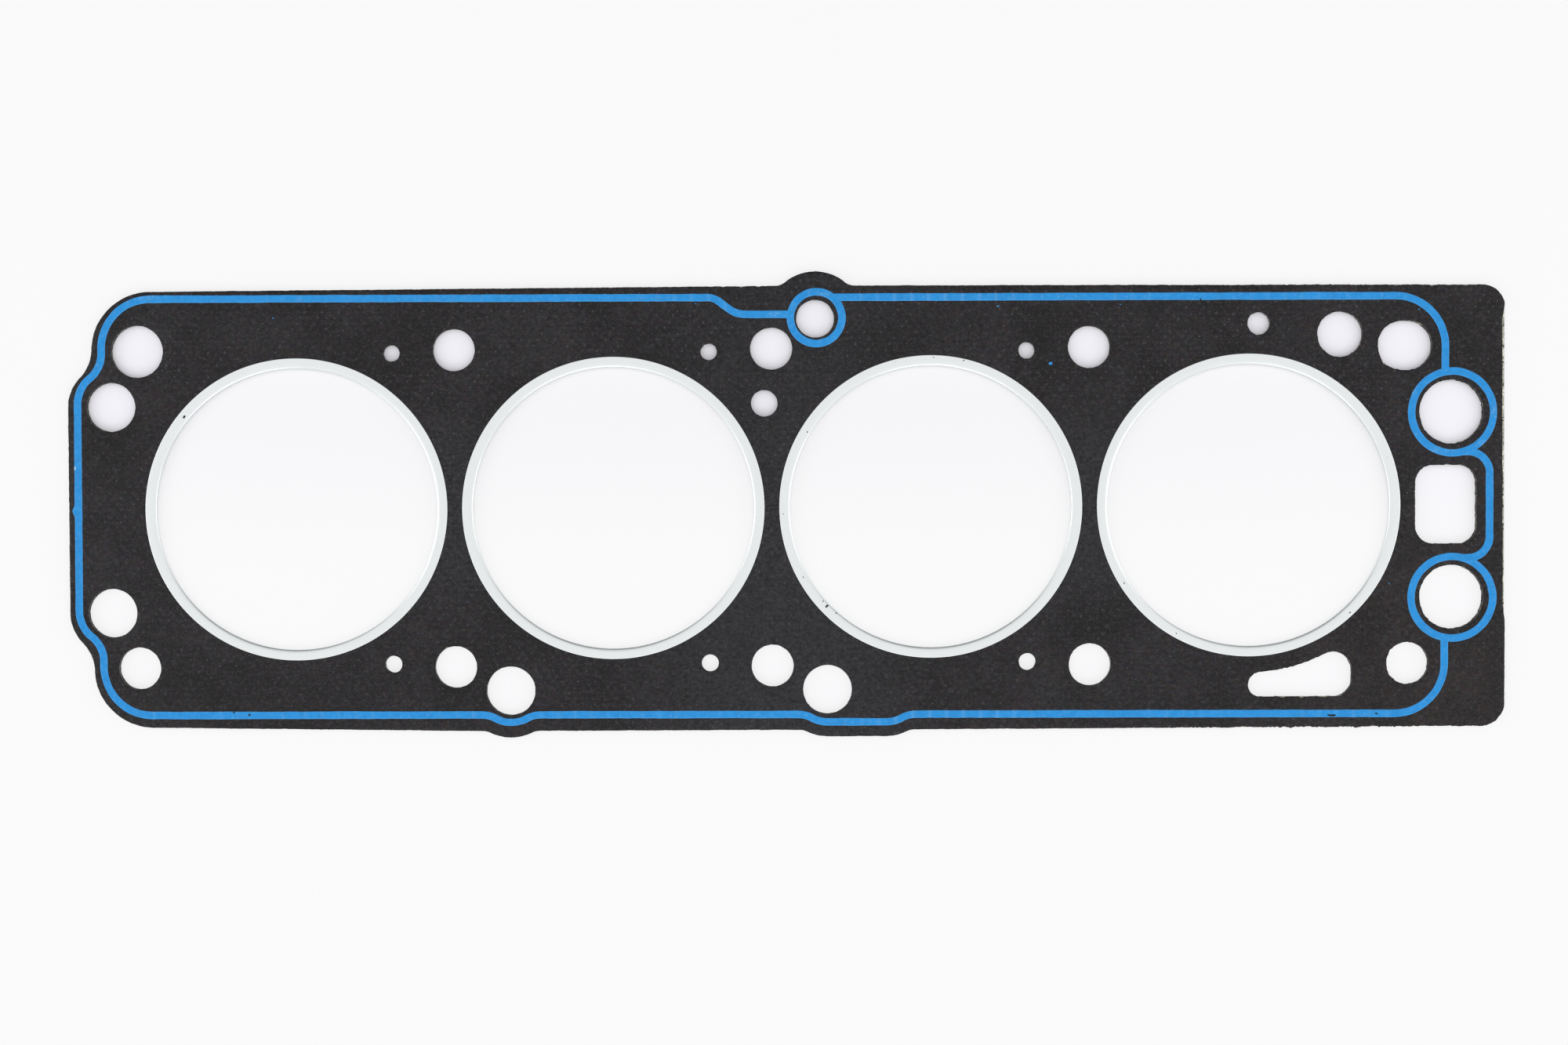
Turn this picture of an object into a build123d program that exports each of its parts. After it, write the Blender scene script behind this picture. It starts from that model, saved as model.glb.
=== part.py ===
from build123d import *
import os
from collections import namedtuple
from math import atan2, cos, degrees, hypot, pi, sin, sqrt

# Composite cylinder head gasket for an in-line four, in millimetres.
# A steel core sheet lies between two fibre facings, a folded steel ring lines each cylinder
# opening, and a silicone sealing bead is printed on each outer face.
# X runs along the engine, Y across it, and Z = 0 is the face that lies on the cylinder block.
# The origin is the middle of the head bolt pattern.

# Cylinders and the head bolt grid. The flanges of neighbouring fire rings lie a gap apart.
CYLINDERS = 4
FLANGE_GAP = 4.3
BOLT_ROW_Y = 46.5
BOLT_HOLE_D = 12.3

# Location on the block: a round dowel hole at one end and a longer one at the other
DOWEL_HOLE_D = 15.2
DOWEL_SLOT_W = 14.5
DOWEL_SLOT_L = 15.9
DOWEL_SLOT_INSET = 0.8

# Thickness of the stack
CORE_T = 0.3
FACING_T = 0.55

# Fire rings: strip folded round the cylinder opening, with a flange on each face
RING_BORE_D = 82.5
RING_SHEET = 0.2
RING_FLANGE_W = 3.1
RING_BEND_R = 0.65
RING_SEAT_DEPTH = 0.07
RING_SEAT_GAP = 0.1
RING_EDGE_GAP = 0.1

# Oil feed hole, beside the middle bolt of the upper row
OIL_FEED_X = 12.9
OIL_FEED_Y = 55.15
OIL_FEED_D = 11.05

# Oil returns on the lower side, each this far past a bolt column
RETURN_OFFSET_X = 16.1
RETURN_Y = -53.55
RETURN_D = 14.3

# Ports at the plain end and at the wide end
PLAIN_PORT_OFFSET_X = 7.8
PLAIN_PORT_Y = 30.2
PLAIN_PORT_D = 14.3
WIDE_PORT_OFFSET_X = 12.8
WIDE_PORT_Y = 27.1
WIDE_PORT_D = 18.7

# Coolant vents between the cylinders
VENT_OFFSET_X = 28.2
VENT_Y = 45.6
UPPER_VENT_D = 4.8
LOWER_VENT_D = 5.0
MIDDLE_VENT_X = -2.1
MIDDLE_VENT_Y = 30.5
MIDDLE_VENT_D = 7.75

# Two more ports above the last cylinder
CORNER_PORT_INSET_X = 19.75
CORNER_PORT_Y = 49.85
CORNER_PORT_D = 13.3
SMALL_PORT_OFFSET_X = 3.05
SMALL_PORT_Y = 53.1
SMALL_PORT_D = 6.65

# Rectangular coolant window at the wide end
WINDOW_OFFSET_X = 11.2
WINDOW_W = 18.0
WINDOW_H = 23.0
WINDOW_CORNER_R = 5.2

# Wedge window under the last cylinder: its upper side runs a land's width outside the fire ring
WEDGE_START = 0.15
WEDGE_END = 30.3
WEDGE_RING_LAND = 4.65
WEDGE_DEPTH = 7.2
WEDGE_TIP_R = 3.6
WEDGE_HEEL_R = 5.2
WEDGE_CROWN_R = 5.5

# Outline of the sheets
TOP_EDGE_Y = 64.8
BOTTOM_EDGE_Y = -65.4
PLAIN_CORNER_Y = 64.0
PLAIN_CORNER_R = 17.4
WIDE_TOP_CORNER_Y = 64.15
WIDE_BOTTOM_CORNER_Y = -65.0
WIDE_CORNER_R = 6.9
WIDE_EDGE_OFFSET_X = 28.4
NECK_OFFSET_X = 13.35
NECK_BLEND_R = 11.5
EAR_R = 12.55
BULGE_R = 13.8
BULGE_BLEND_R = 4.4
LONG_BULGE_LENGTH = 17.1

# Printed bead: its section, its route, and how far off the print lies on the head side
BEAD_W = 2.3
BEAD_H = 0.1
BEAD_FLANK_W = 0.25
BEAD_FLANK_H = 0.06
BEAD_RUN_Y = 61.1
BEAD_EAR_R = 10.0
BEAD_BULGE_R = 9.75
BEAD_BULGE_BLEND_R = 8.0
BEAD_NECK_OFFSET_X = 10.7
BEAD_NECK_BLEND_R = 9.3
BEAD_PLAIN_CORNER_R = 14.4
BEAD_WIDE_OFFSET_X = 10.65
BEAD_WIDE_CORNER_R = 14.7
BEAD_OUTER_OFFSET_X = 23.7
BEAD_OUTER_Y = 15.5
BEAD_OUTER_CORNER_R = 6.1
BEAD_STEP_Y = 56.2
BEAD_STEP_START_X = -7.9
BEAD_STEP_END_X = -18.9
BEAD_STEP_LOW_R = 8.0
BEAD_STEP_HIGH_R = 5.3
BEAD_HIDDEN_TURN_R = 2.0
OIL_BEAD_R = 7.55
PORT_BEAD_R = 11.95
PRINT_SHIFT = (0.2, 0.3)
PRINT_TURN = -0.13

# Worked out from the values above
FLANGE_R = RING_BORE_D / 2 + RING_FLANGE_W
BORE_PITCH = 2 * FLANGE_R + FLANGE_GAP
END_X = BORE_PITCH * CYLINDERS / 2
WEDGE_ARC_R = FLANGE_R + WEDGE_RING_LAND
WEDGE_FLOOR_Y = -WEDGE_ARC_R - WEDGE_DEPTH
STACK_T = CORE_T + 2 * FACING_T
BORE_XS = [BORE_PITCH * (i - (CYLINDERS - 1) / 2) for i in range(CYLINDERS)]
BOLT_XS = [BORE_PITCH * (i - CYLINDERS / 2) for i in range(CYLINDERS + 1)]
RETURN_COLUMNS = (-BORE_PITCH, 0.0)
SHEET_BORE_R = RING_BORE_D / 2 + RING_BEND_R + RING_EDGE_GAP
RING_PROUD = RING_SHEET - RING_SEAT_DEPTH

# Discs whose common tangent is shorter than this touch each other
TOUCHING = 1e-4

# The two bends of a ring take at most this share of its height each
BEND_SHARE = 0.45

# One disc of a belt: the line runs round it with the centre on its left (side 1) or right (side -1)
Disc = namedtuple("Disc", "x y r side")


def beside_level(disc, level_y, blend_r, way, outside):
    """Blend that touches a disc and a level line: way is -1 left or 1 right, outside the line's open side."""
    y = level_y + outside * blend_r
    reach = sqrt((disc.r + blend_r) ** 2 - (y - disc.y) ** 2)
    return Disc(disc.x + way * reach, y, blend_r, -1)


def beside_upright(disc, upright_x, blend_r, way, outside):
    """Blend that touches a disc and an upright line: way is -1 down or 1 up, outside the line's open side."""
    x = upright_x + outside * blend_r
    reach = sqrt((disc.r + blend_r) ** 2 - (x - disc.x) ** 2)
    return Disc(x, disc.y + way * reach, blend_r, -1)


def widened(discs, distance):
    """The same belt moved outwards by a distance."""
    return [Disc(d.x, d.y, d.r + d.side * distance, d.side) for d in discs]


def belt(discs):
    """Face inside a closed line that runs anticlockwise from disc to disc by their common tangents."""
    runs = []
    for i, first in enumerate(discs):
        second = discs[(i + 1) % len(discs)]
        apart = hypot(second.x - first.x, second.y - first.y)
        lean = second.side * second.r - first.side * first.r
        length = sqrt(max(apart**2 - lean**2, 0.0))
        length = 0.0 if length < TOUCHING else length
        heading = atan2(second.y - first.y, second.x - first.x) - atan2(lean, length)
        across = Vector(-sin(heading), cos(heading))
        start = Vector(first.x, first.y) - across * (first.side * first.r)
        runs.append((heading, start, start + Vector(cos(heading), sin(heading)) * length, length))
    edges = []
    for i, disc in enumerate(discs):
        arrival, _, touch, _ = runs[i - 1]
        departure, start, end, length = runs[i]
        turn = (disc.side * (departure - arrival)) % (2 * pi)
        angle = degrees(atan2(touch.Y - disc.y, touch.X - disc.x))
        edges.append(CenterArc((disc.x, disc.y), disc.r, angle, disc.side * degrees(turn)))
        if length:
            edges.append(Line(start, end))
    return make_face(Wire(edges))


def oil_feed_disc(r):
    """Disc of a radius round the oil feed hole."""
    return Disc(OIL_FEED_X, OIL_FEED_Y, r, 1)


def return_discs(r):
    """Discs of a radius round the two oil returns, and the far end of the long bulge."""
    first, second = [Disc(x + RETURN_OFFSET_X, RETURN_Y, r, 1) for x in RETURN_COLUMNS]
    return first, second, Disc(second.x + LONG_BULGE_LENGTH, RETURN_Y, r, 1)


def ear_discs(r):
    """Discs of a radius round the upper and lower port of the plain end."""
    return [Disc(-END_X - PLAIN_PORT_OFFSET_X, y, r, 1) for y in (PLAIN_PORT_Y, -PLAIN_PORT_Y)]


def plain_end(ear_r, neck_x, neck_r, corner_y, corner_r):
    """Discs down the plain end, from its upper corner to its lower one."""
    upper, lower = ear_discs(ear_r)
    return [
        Disc(neck_x + corner_r, corner_y - corner_r, corner_r, 1),
        beside_upright(upper, neck_x, neck_r, 1, -1),
        upper,
        lower,
        beside_upright(lower, neck_x, neck_r, -1, -1),
        Disc(neck_x + corner_r, -corner_y + corner_r, corner_r, 1),
    ]


def lower_side(edge_y, bulge_r, blend_r):
    """Discs along the lower side: a bulge round one return, and a long one past the other."""
    first, second, far = return_discs(bulge_r)
    return [
        beside_level(first, edge_y, blend_r, -1, -1),
        first,
        beside_level(first, edge_y, blend_r, 1, -1),
        beside_level(second, edge_y, blend_r, -1, -1),
        second,
        far,
        beside_level(far, edge_y, blend_r, 1, -1),
    ]


def outline():
    """Outer line of the three sheets."""
    right = END_X + WIDE_EDGE_OFFSET_X - WIDE_CORNER_R
    feed = oil_feed_disc(BULGE_R)
    return belt(
        plain_end(EAR_R, -END_X - NECK_OFFSET_X, NECK_BLEND_R, PLAIN_CORNER_Y, PLAIN_CORNER_R)
        + lower_side(BOTTOM_EDGE_Y, BULGE_R, BULGE_BLEND_R)
        + [
            Disc(right, WIDE_BOTTOM_CORNER_Y + WIDE_CORNER_R, WIDE_CORNER_R, 1),
            Disc(right, WIDE_TOP_CORNER_Y - WIDE_CORNER_R, WIDE_CORNER_R, 1),
            beside_level(feed, TOP_EDGE_Y, BULGE_BLEND_R, 1, 1),
            feed,
            beside_level(feed, TOP_EDGE_Y, BULGE_BLEND_R, -1, 1),
        ]
    )


def coolant_window():
    """Rectangular window with round corners."""
    place = Pos(END_X + WINDOW_OFFSET_X, 0)
    return place * RectangleRounded(WINDOW_W, WINDOW_H, WINDOW_CORNER_R)


def wedge_window():
    """Window whose upper side is an arc round the last bore."""
    round_bore = Disc(BORE_XS[-1], 0.0, WEDGE_ARC_R, -1)
    tip_x = round_bore.x - WEDGE_START + WEDGE_TIP_R
    right = round_bore.x + WEDGE_END
    crown = beside_upright(round_bore, right, WEDGE_CROWN_R, -1, -1)
    return belt(
        [
            Disc(tip_x, WEDGE_FLOOR_Y + WEDGE_TIP_R, WEDGE_TIP_R, 1),
            Disc(right - WEDGE_HEEL_R, WEDGE_FLOOR_Y + WEDGE_HEEL_R, WEDGE_HEEL_R, 1),
            crown._replace(side=1),
            round_bore,
        ]
    )


def dowel_slot():
    """Long dowel hole at the wide end of the upper bolt row."""
    place = Pos(END_X - DOWEL_SLOT_INSET, BOLT_ROW_Y)
    return place * SlotOverall(DOWEL_SLOT_L, DOWEL_SLOT_W)


def round_holes():
    """Centre and diameter of each round hole through all three sheets."""
    holes = [(x, -BOLT_ROW_Y, BOLT_HOLE_D) for x in BOLT_XS]
    holes += [(x, BOLT_ROW_Y, BOLT_HOLE_D) for x in BOLT_XS[1:-1]]
    holes.append((-END_X, BOLT_ROW_Y, DOWEL_HOLE_D))
    holes.append((OIL_FEED_X, OIL_FEED_Y, OIL_FEED_D))
    holes += [(x + RETURN_OFFSET_X, RETURN_Y, RETURN_D) for x in RETURN_COLUMNS]
    holes += [(d.x, d.y, PLAIN_PORT_D) for d in ear_discs(EAR_R)]
    holes += [(END_X + WIDE_PORT_OFFSET_X, y, WIDE_PORT_D) for y in (WIDE_PORT_Y, -WIDE_PORT_Y)]
    for bore_x in BORE_XS[:-1]:
        holes.append((bore_x + VENT_OFFSET_X, VENT_Y, UPPER_VENT_D))
        holes.append((bore_x + VENT_OFFSET_X, -VENT_Y, LOWER_VENT_D))
    holes.append((MIDDLE_VENT_X, MIDDLE_VENT_Y, MIDDLE_VENT_D))
    holes.append((END_X - CORNER_PORT_INSET_X, CORNER_PORT_Y, CORNER_PORT_D))
    holes.append((BORE_XS[-1] + SMALL_PORT_OFFSET_X, SMALL_PORT_Y, SMALL_PORT_D))
    return holes


def sheet_face():
    """The blanked shape that the core and both facings share."""
    face = outline() - coolant_window() - wedge_window() - dowel_slot()
    face -= [Pos(x, 0) * Circle(SHEET_BORE_R) for x in BORE_XS]
    face -= [Pos(x, y) * Circle(d / 2) for x, y, d in round_holes()]
    return face


def sheet(base_z, thickness):
    """One blanked sheet of the stack."""
    return extrude(Pos(0, 0, base_z) * sheet_face(), thickness)


def ring_seats(base_z):
    """Shallow recesses that the ring flanges are pressed into."""
    seat = Circle(FLANGE_R + RING_SEAT_GAP)
    return [Pos(x, 0, base_z) * extrude(seat, RING_SEAT_DEPTH) for x in BORE_XS]


def fire_ring(x):
    """Strip folded into a U that grips the stack: an inner land with a rounded bend to each flange."""
    low = -RING_PROUD
    height = STACK_T + 2 * RING_PROUD
    inner_r = RING_BORE_D / 2
    bend_r = min(RING_BEND_R, BEND_SHARE * height)
    outside = Plane.XZ * Pos(inner_r, low) * Rectangle(RING_FLANGE_W, height, align=Align.MIN)
    outside = fillet(outside.vertices().group_by(Axis.X)[0], bend_r)
    hollow_h = height - 2 * RING_SHEET
    hollow = Plane.XZ * Pos(inner_r + RING_SHEET, low + RING_SHEET)
    hollow *= Rectangle(RING_FLANGE_W, hollow_h, align=Align.MIN)
    hollow = fillet(hollow.vertices().group_by(Axis.X)[0], bend_r - RING_SHEET)
    return Pos(x, 0) * revolve(outside - hollow, Axis.Z)


def bead_track():
    """Centre line of the perimeter bead. Its hidden turns lie inside the rings that it joins."""
    neck_x = -END_X - BEAD_NECK_OFFSET_X
    wide_x = END_X + BEAD_WIDE_OFFSET_X
    outer_x = END_X + BEAD_OUTER_OFFSET_X - BEAD_OUTER_CORNER_R
    outer_y = BEAD_OUTER_Y - BEAD_OUTER_CORNER_R
    corner_x = wide_x - BEAD_WIDE_CORNER_R
    corner_y = BEAD_RUN_Y - BEAD_WIDE_CORNER_R
    turn = BEAD_HIDDEN_TURN_R
    wide_end = [
        Disc(corner_x, -corner_y, BEAD_WIDE_CORNER_R, 1),
        Disc(wide_x + turn, -BEAD_OUTER_Y - turn, turn, -1),
        Disc(outer_x, -outer_y, BEAD_OUTER_CORNER_R, 1),
        Disc(outer_x, outer_y, BEAD_OUTER_CORNER_R, 1),
        Disc(wide_x + turn, BEAD_OUTER_Y + turn, turn, -1),
        Disc(corner_x, corner_y, BEAD_WIDE_CORNER_R, 1),
    ]
    upper_side = [
        Disc(OIL_FEED_X + turn, BEAD_RUN_Y - turn, turn, 1),
        Disc(OIL_FEED_X - turn, BEAD_STEP_Y + turn, turn, -1),
        Disc(BEAD_STEP_START_X, BEAD_STEP_Y + BEAD_STEP_LOW_R, BEAD_STEP_LOW_R, -1),
        Disc(BEAD_STEP_END_X, BEAD_RUN_Y - BEAD_STEP_HIGH_R, BEAD_STEP_HIGH_R, 1),
    ]
    return (
        plain_end(BEAD_EAR_R, neck_x, BEAD_NECK_BLEND_R, BEAD_RUN_Y, BEAD_PLAIN_CORNER_R)
        + lower_side(-BEAD_RUN_Y, BEAD_BULGE_R, BEAD_BULGE_BLEND_R)
        + wide_end
        + upper_side
    )


def bead_face():
    """Print of the bead: the perimeter line, and a ring round each of three holes."""
    half = BEAD_W / 2
    line = belt(widened(bead_track(), half)) - belt(widened(bead_track(), -half))
    rings = [(OIL_FEED_X, OIL_FEED_Y, OIL_BEAD_R)]
    rings += [(END_X + WIDE_PORT_OFFSET_X, y, PORT_BEAD_R) for y in (WIDE_PORT_Y, -WIDE_PORT_Y)]
    line += [Pos(x, y) * Circle(r + half) for x, y, r in rings]
    line -= [Pos(x, y) * Circle(r - half) for x, y, r in rings]
    return line


def bead():
    """The bead as printed, with flanks that slope up to a narrower crest."""
    strip = extrude(bead_face(), BEAD_H)
    crest = strip.faces().sort_by(Axis.Z)[-1]
    return chamfer(crest.edges(), BEAD_FLANK_H, BEAD_FLANK_W)


def build():
    """Every sub-part by name."""
    core_z = FACING_T
    upper_z = FACING_T + CORE_T
    nodes = {
        "steel_core": sheet(core_z, CORE_T),
        "block_facing": sheet(0.0, FACING_T) - ring_seats(0.0),
        "head_facing": sheet(upper_z, FACING_T) - ring_seats(STACK_T - RING_SEAT_DEPTH),
    }
    for number, x in enumerate(BORE_XS, start=1):
        nodes[f"fire_ring_{number}"] = fire_ring(x)
    printed = Pos(*PRINT_SHIFT, STACK_T) * Rot(0, 0, PRINT_TURN) * bead()
    nodes["head_sealing_bead"] = printed
    nodes["block_sealing_bead"] = mirror(bead(), Plane.XY)
    return nodes


os.makedirs("parts", exist_ok=True)
for name, shape in build().items():
    export_step(shape, f"parts/{name}.step")
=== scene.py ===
"""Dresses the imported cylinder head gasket: fibre facings, steel core, fire rings and printed beads.

The shapes are worked out in millimetres in the plane of the gasket, in the same frame as the CAD part,
and turned into metres when a mesh is made.
"""
from __future__ import annotations

import logging
import math
from dataclasses import dataclass, replace
from enum import Enum
from typing import Sequence

import bpy
import numpy as np
from mathutils import Euler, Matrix, Vector, geometry, kdtree


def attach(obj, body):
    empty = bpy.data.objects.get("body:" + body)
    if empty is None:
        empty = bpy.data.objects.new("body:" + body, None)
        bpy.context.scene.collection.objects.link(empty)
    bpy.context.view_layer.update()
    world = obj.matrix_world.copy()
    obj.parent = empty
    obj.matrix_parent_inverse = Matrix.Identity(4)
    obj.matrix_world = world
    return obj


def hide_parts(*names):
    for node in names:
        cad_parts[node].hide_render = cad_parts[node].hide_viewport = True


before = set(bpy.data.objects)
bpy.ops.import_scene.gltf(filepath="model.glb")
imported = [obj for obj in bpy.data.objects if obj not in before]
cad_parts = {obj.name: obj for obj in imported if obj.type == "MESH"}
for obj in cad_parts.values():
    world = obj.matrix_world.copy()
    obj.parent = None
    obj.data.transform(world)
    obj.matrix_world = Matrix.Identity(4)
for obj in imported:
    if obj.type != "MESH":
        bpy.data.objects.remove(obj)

log = logging.getLogger("gasket")

Colour = tuple[float, float, float, float]
Pair = tuple[float, float]
Socket = bpy.types.NodeSocket

MM = 0.001

# Cylinders and the head bolt grid
CYLINDERS = 4
RING_BORE_R = 41.25
RING_FLANGE_W = 3.1
FLANGE_R = RING_BORE_R + RING_FLANGE_W
FLANGE_GAP = 4.3
BORE_PITCH = 2 * FLANGE_R + FLANGE_GAP
END_X = BORE_PITCH * CYLINDERS / 2
BORE_XS = [BORE_PITCH * (i - (CYLINDERS - 1) / 2) for i in range(CYLINDERS)]
BOLT_XS = [BORE_PITCH * (i - CYLINDERS / 2) for i in range(CYLINDERS + 1)]
RETURN_COLUMNS = (-BORE_PITCH, 0.0)
BOLT_ROW_Y = 46.5
BOLT_HOLE_D = 12.3
DOWEL_HOLE_D = 15.2
DOWEL_SLOT_W = 14.5
DOWEL_SLOT_LENGTH = 15.9
DOWEL_SLOT_INSET = 0.8

# Stack of sheets and the rings that clinch it
CORE_T = 0.3
FACING_T = 0.55
STACK_T = CORE_T + 2 * FACING_T
RING_SHEET = 0.2
RING_BEND_R = 0.65
RING_SEAT_DEPTH = 0.07
RING_PROUD = RING_SHEET - RING_SEAT_DEPTH
SEAT_R = FLANGE_R + 0.1
SHEET_BORE_R = 42.0

# Holes: centre x, or how far it lies from the end of the bolt grid or from the last bore, centre y, diameter
OIL_FEED = (12.9, 55.15, 11.05)
RETURN_OFFSET_X = 16.1
RETURN_Y = -53.55
RETURN_D = 14.3
PLAIN_PORT = (7.8, 30.2, 14.3)
WIDE_PORT = (12.8, 27.1, 18.7)
VENT_OFFSET_X = 28.2
VENT_Y = 45.6
UPPER_VENT_D = 4.8
LOWER_VENT_D = 5.0
MIDDLE_VENT = (-2.1, 30.5, 7.75)
CORNER_PORT = (19.75, 49.85, 13.3)
SMALL_PORT = (3.05, 53.1, 6.65)

# Windows at the wide end
WINDOW_OFFSET_X = 11.2
WINDOW_SIZE = (18.0, 23.0)
WINDOW_CORNER_R = 5.2
WEDGE_START = 0.15
WEDGE_END = 30.3
WEDGE_ARC_R = FLANGE_R + 4.65
WEDGE_FLOOR_Y = -WEDGE_ARC_R - 7.2
WEDGE_TIP_R = 3.6
WEDGE_HEEL_R = 5.2
WEDGE_CROWN_R = 5.5

# Outline of the sheets
TOP_EDGE_Y = 64.8
BOTTOM_EDGE_Y = -65.4
PLAIN_CORNER_Y = 64.0
PLAIN_CORNER_R = 17.4
WIDE_TOP_CORNER_Y = 64.15
WIDE_BOTTOM_CORNER_Y = -65.0
WIDE_CORNER_R = 6.9
WIDE_EDGE_OFFSET_X = 28.4
NECK_OFFSET_X = 13.35
NECK_BLEND_R = 11.5
EAR_R = 12.55
BULGE_R = 13.8
BULGE_BLEND_R = 4.4
LONG_BULGE_LENGTH = 17.1

# Printed bead
BEAD_W = 2.3
BEAD_H = 0.1
BEAD_RUN_Y = 61.1
BEAD_EAR_R = 10.0
BEAD_BULGE_R = 9.75
BEAD_BULGE_BLEND_R = 8.0
BEAD_NECK_OFFSET_X = 10.7
BEAD_NECK_R = 9.3
BEAD_PLAIN_CORNER_R = 14.4
BEAD_WIDE_OFFSET_X = 10.65
BEAD_WIDE_CORNER_R = 14.7
BEAD_OUTER_OFFSET_X = 23.7
BEAD_OUTER_REACH_Y = 15.5
BEAD_OUTER_R = 6.1
BEAD_STEP_Y = 56.2
BEAD_STEP_START_X = -7.9
BEAD_STEP_END_X = -18.9
BEAD_STEP_LOW_R = 8.0
BEAD_STEP_HIGH_R = 5.3
BEAD_HIDDEN_TURN_R = 2.0
OIL_BEAD_R = 7.55
PORT_BEAD_R = 11.95
PRINT_SHIFT = (0.2, 0.3)
PRINT_TURN_DEG = -0.13

# How finely the lines and faces are divided
LINE_STEP = 0.32
LEAST_STEP = 0.02
ARC_STEP_DEG = 6.0
POINTS_AT_ONCE = 500
WHOLE_HULL = 0
SAME_POINT = 1e-6
ROW_SHARE = 0.87
LATTICE_JITTER = 0.2
NO_POINTS = np.zeros((0, 2))

# Where the cut is rougher: from a place and over a distance, or in a band along an edge
WIDE_WEAR = (110.0, 40.0)
LOWER_WEAR = (95.0, 15.0)
LOWER_WEAR_BAND = 1.5
LOWER_WEAR_FADE = 0.25
BARE_BAND = 1.0
BARE_FADE = 0.5

# Unevenness of the sheets, and how deep the flecks lie in what they cover
LEAST_KNOTS = 4
EDGE_SEED = 100
SOFT_WAVES = 6
SOFT_WAVE_RANGE = (0.05, 0.3)
FLECK_BEDDING = 0.012


class Slot(Enum):
    """Material slots of the record."""

    CORE = "core_steel"
    FACING = "fibre_facing"
    RING = "ring_steel"
    BEAD = "silicone_bead"


# Lines in the plane


@dataclass(frozen=True)
class Disc:
    """One disc of a belt: the line runs round it with the centre on its left (side 1) or right (side -1)."""

    x: float
    y: float
    r: float
    side: int = 1


def beside_level(disc: Disc, level_y: float, blend_r: float, way: int, outside: int) -> Disc:
    """Finds the blend that touches a disc and a level line.

    Args:
        disc: The disc that the blend touches.
        level_y: Height of the level line.
        blend_r: Radius of the blend.
        way: -1 for the left side of the disc or 1 for the right.
        outside: 1 or -1, towards the line's open side.

    Returns:
        The blend as a disc on the line's right.
    """
    y = level_y + outside * blend_r
    reach = math.sqrt((disc.r + blend_r) ** 2 - (y - disc.y) ** 2)
    return Disc(disc.x + way * reach, y, blend_r, -1)


def beside_upright(disc: Disc, upright_x: float, blend_r: float, way: int, outside: int) -> Disc:
    """Finds the blend that touches a disc and an upright line.

    Args:
        disc: The disc that the blend touches.
        upright_x: Place of the upright line.
        blend_r: Radius of the blend.
        way: -1 for below the disc or 1 for above.
        outside: 1 or -1, towards the line's open side.

    Returns:
        The blend as a disc on the line's right.
    """
    x = upright_x + outside * blend_r
    reach = math.sqrt((disc.r + blend_r) ** 2 - (x - disc.x) ** 2)
    return Disc(x, disc.y + way * reach, blend_r, -1)


def belt(discs: Sequence[Disc], step: float = LINE_STEP) -> np.ndarray:
    """Runs a closed line anticlockwise from disc to disc by their common tangents.

    Args:
        discs: The discs in order.
        step: Longest distance between two points of the line.

    Returns:
        The line's points, one row each.
    """
    runs = []
    for i, first in enumerate(discs):
        second = discs[(i + 1) % len(discs)]
        apart = math.hypot(second.x - first.x, second.y - first.y)
        lean = second.side * second.r - first.side * first.r
        length = math.sqrt(max(apart**2 - lean**2, 0.0))
        heading = math.atan2(second.y - first.y, second.x - first.x) - math.atan2(lean, length)
        forward = np.array((math.cos(heading), math.sin(heading)))
        outward = np.array((math.sin(heading), -math.cos(heading)))
        start = np.array((first.x, first.y)) + first.side * first.r * outward
        runs.append((heading, start, start + length * forward, length))
    points = []
    for i, disc in enumerate(discs):
        arrival, _, touch, _ = runs[i - 1]
        departure, start, end, length = runs[i]
        turn = (disc.side * (departure - arrival)) % (2 * math.pi)
        angle = math.atan2(touch[1] - disc.y, touch[0] - disc.x)
        count = max(math.ceil(turn * disc.r / step), math.ceil(math.degrees(turn) / ARC_STEP_DEG), 1)
        for k in range(count):
            a = angle + disc.side * turn * k / count
            points.append((disc.x + disc.r * math.cos(a), disc.y + disc.r * math.sin(a)))
        count = max(math.ceil(length / step), 1)
        for k in range(count):
            points.append(tuple(start + (end - start) * k / count))
    line = np.array(points)
    gap = np.linalg.norm(np.roll(line, -1, axis=0) - line, axis=1)
    return line[gap > LEAST_STEP]


def full_turn(count: int) -> np.ndarray:
    """Returns a number of angles evenly round a circle."""
    return np.arange(count) * 2 * math.pi / count


def circle(x: float, y: float, r: float, step: float = LINE_STEP) -> np.ndarray:
    """Returns the points of a circle, anticlockwise."""
    angles = full_turn(max(math.ceil(2 * math.pi * r / step), math.ceil(360 / ARC_STEP_DEG)))
    return np.stack((x + r * np.cos(angles), y + r * np.sin(angles)), axis=1)


def normals(line: np.ndarray) -> np.ndarray:
    """Returns the unit normal on the left of a closed line at each of its points.

    Args:
        line: A closed line of points.

    Returns:
        The normals, one row each.
    """
    along = np.roll(line, -1, axis=0) - np.roll(line, 1, axis=0)
    along /= np.maximum(np.linalg.norm(along, axis=1, keepdims=True), 1e-9)
    return np.stack((-along[:, 1], along[:, 0]), axis=1)


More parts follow.
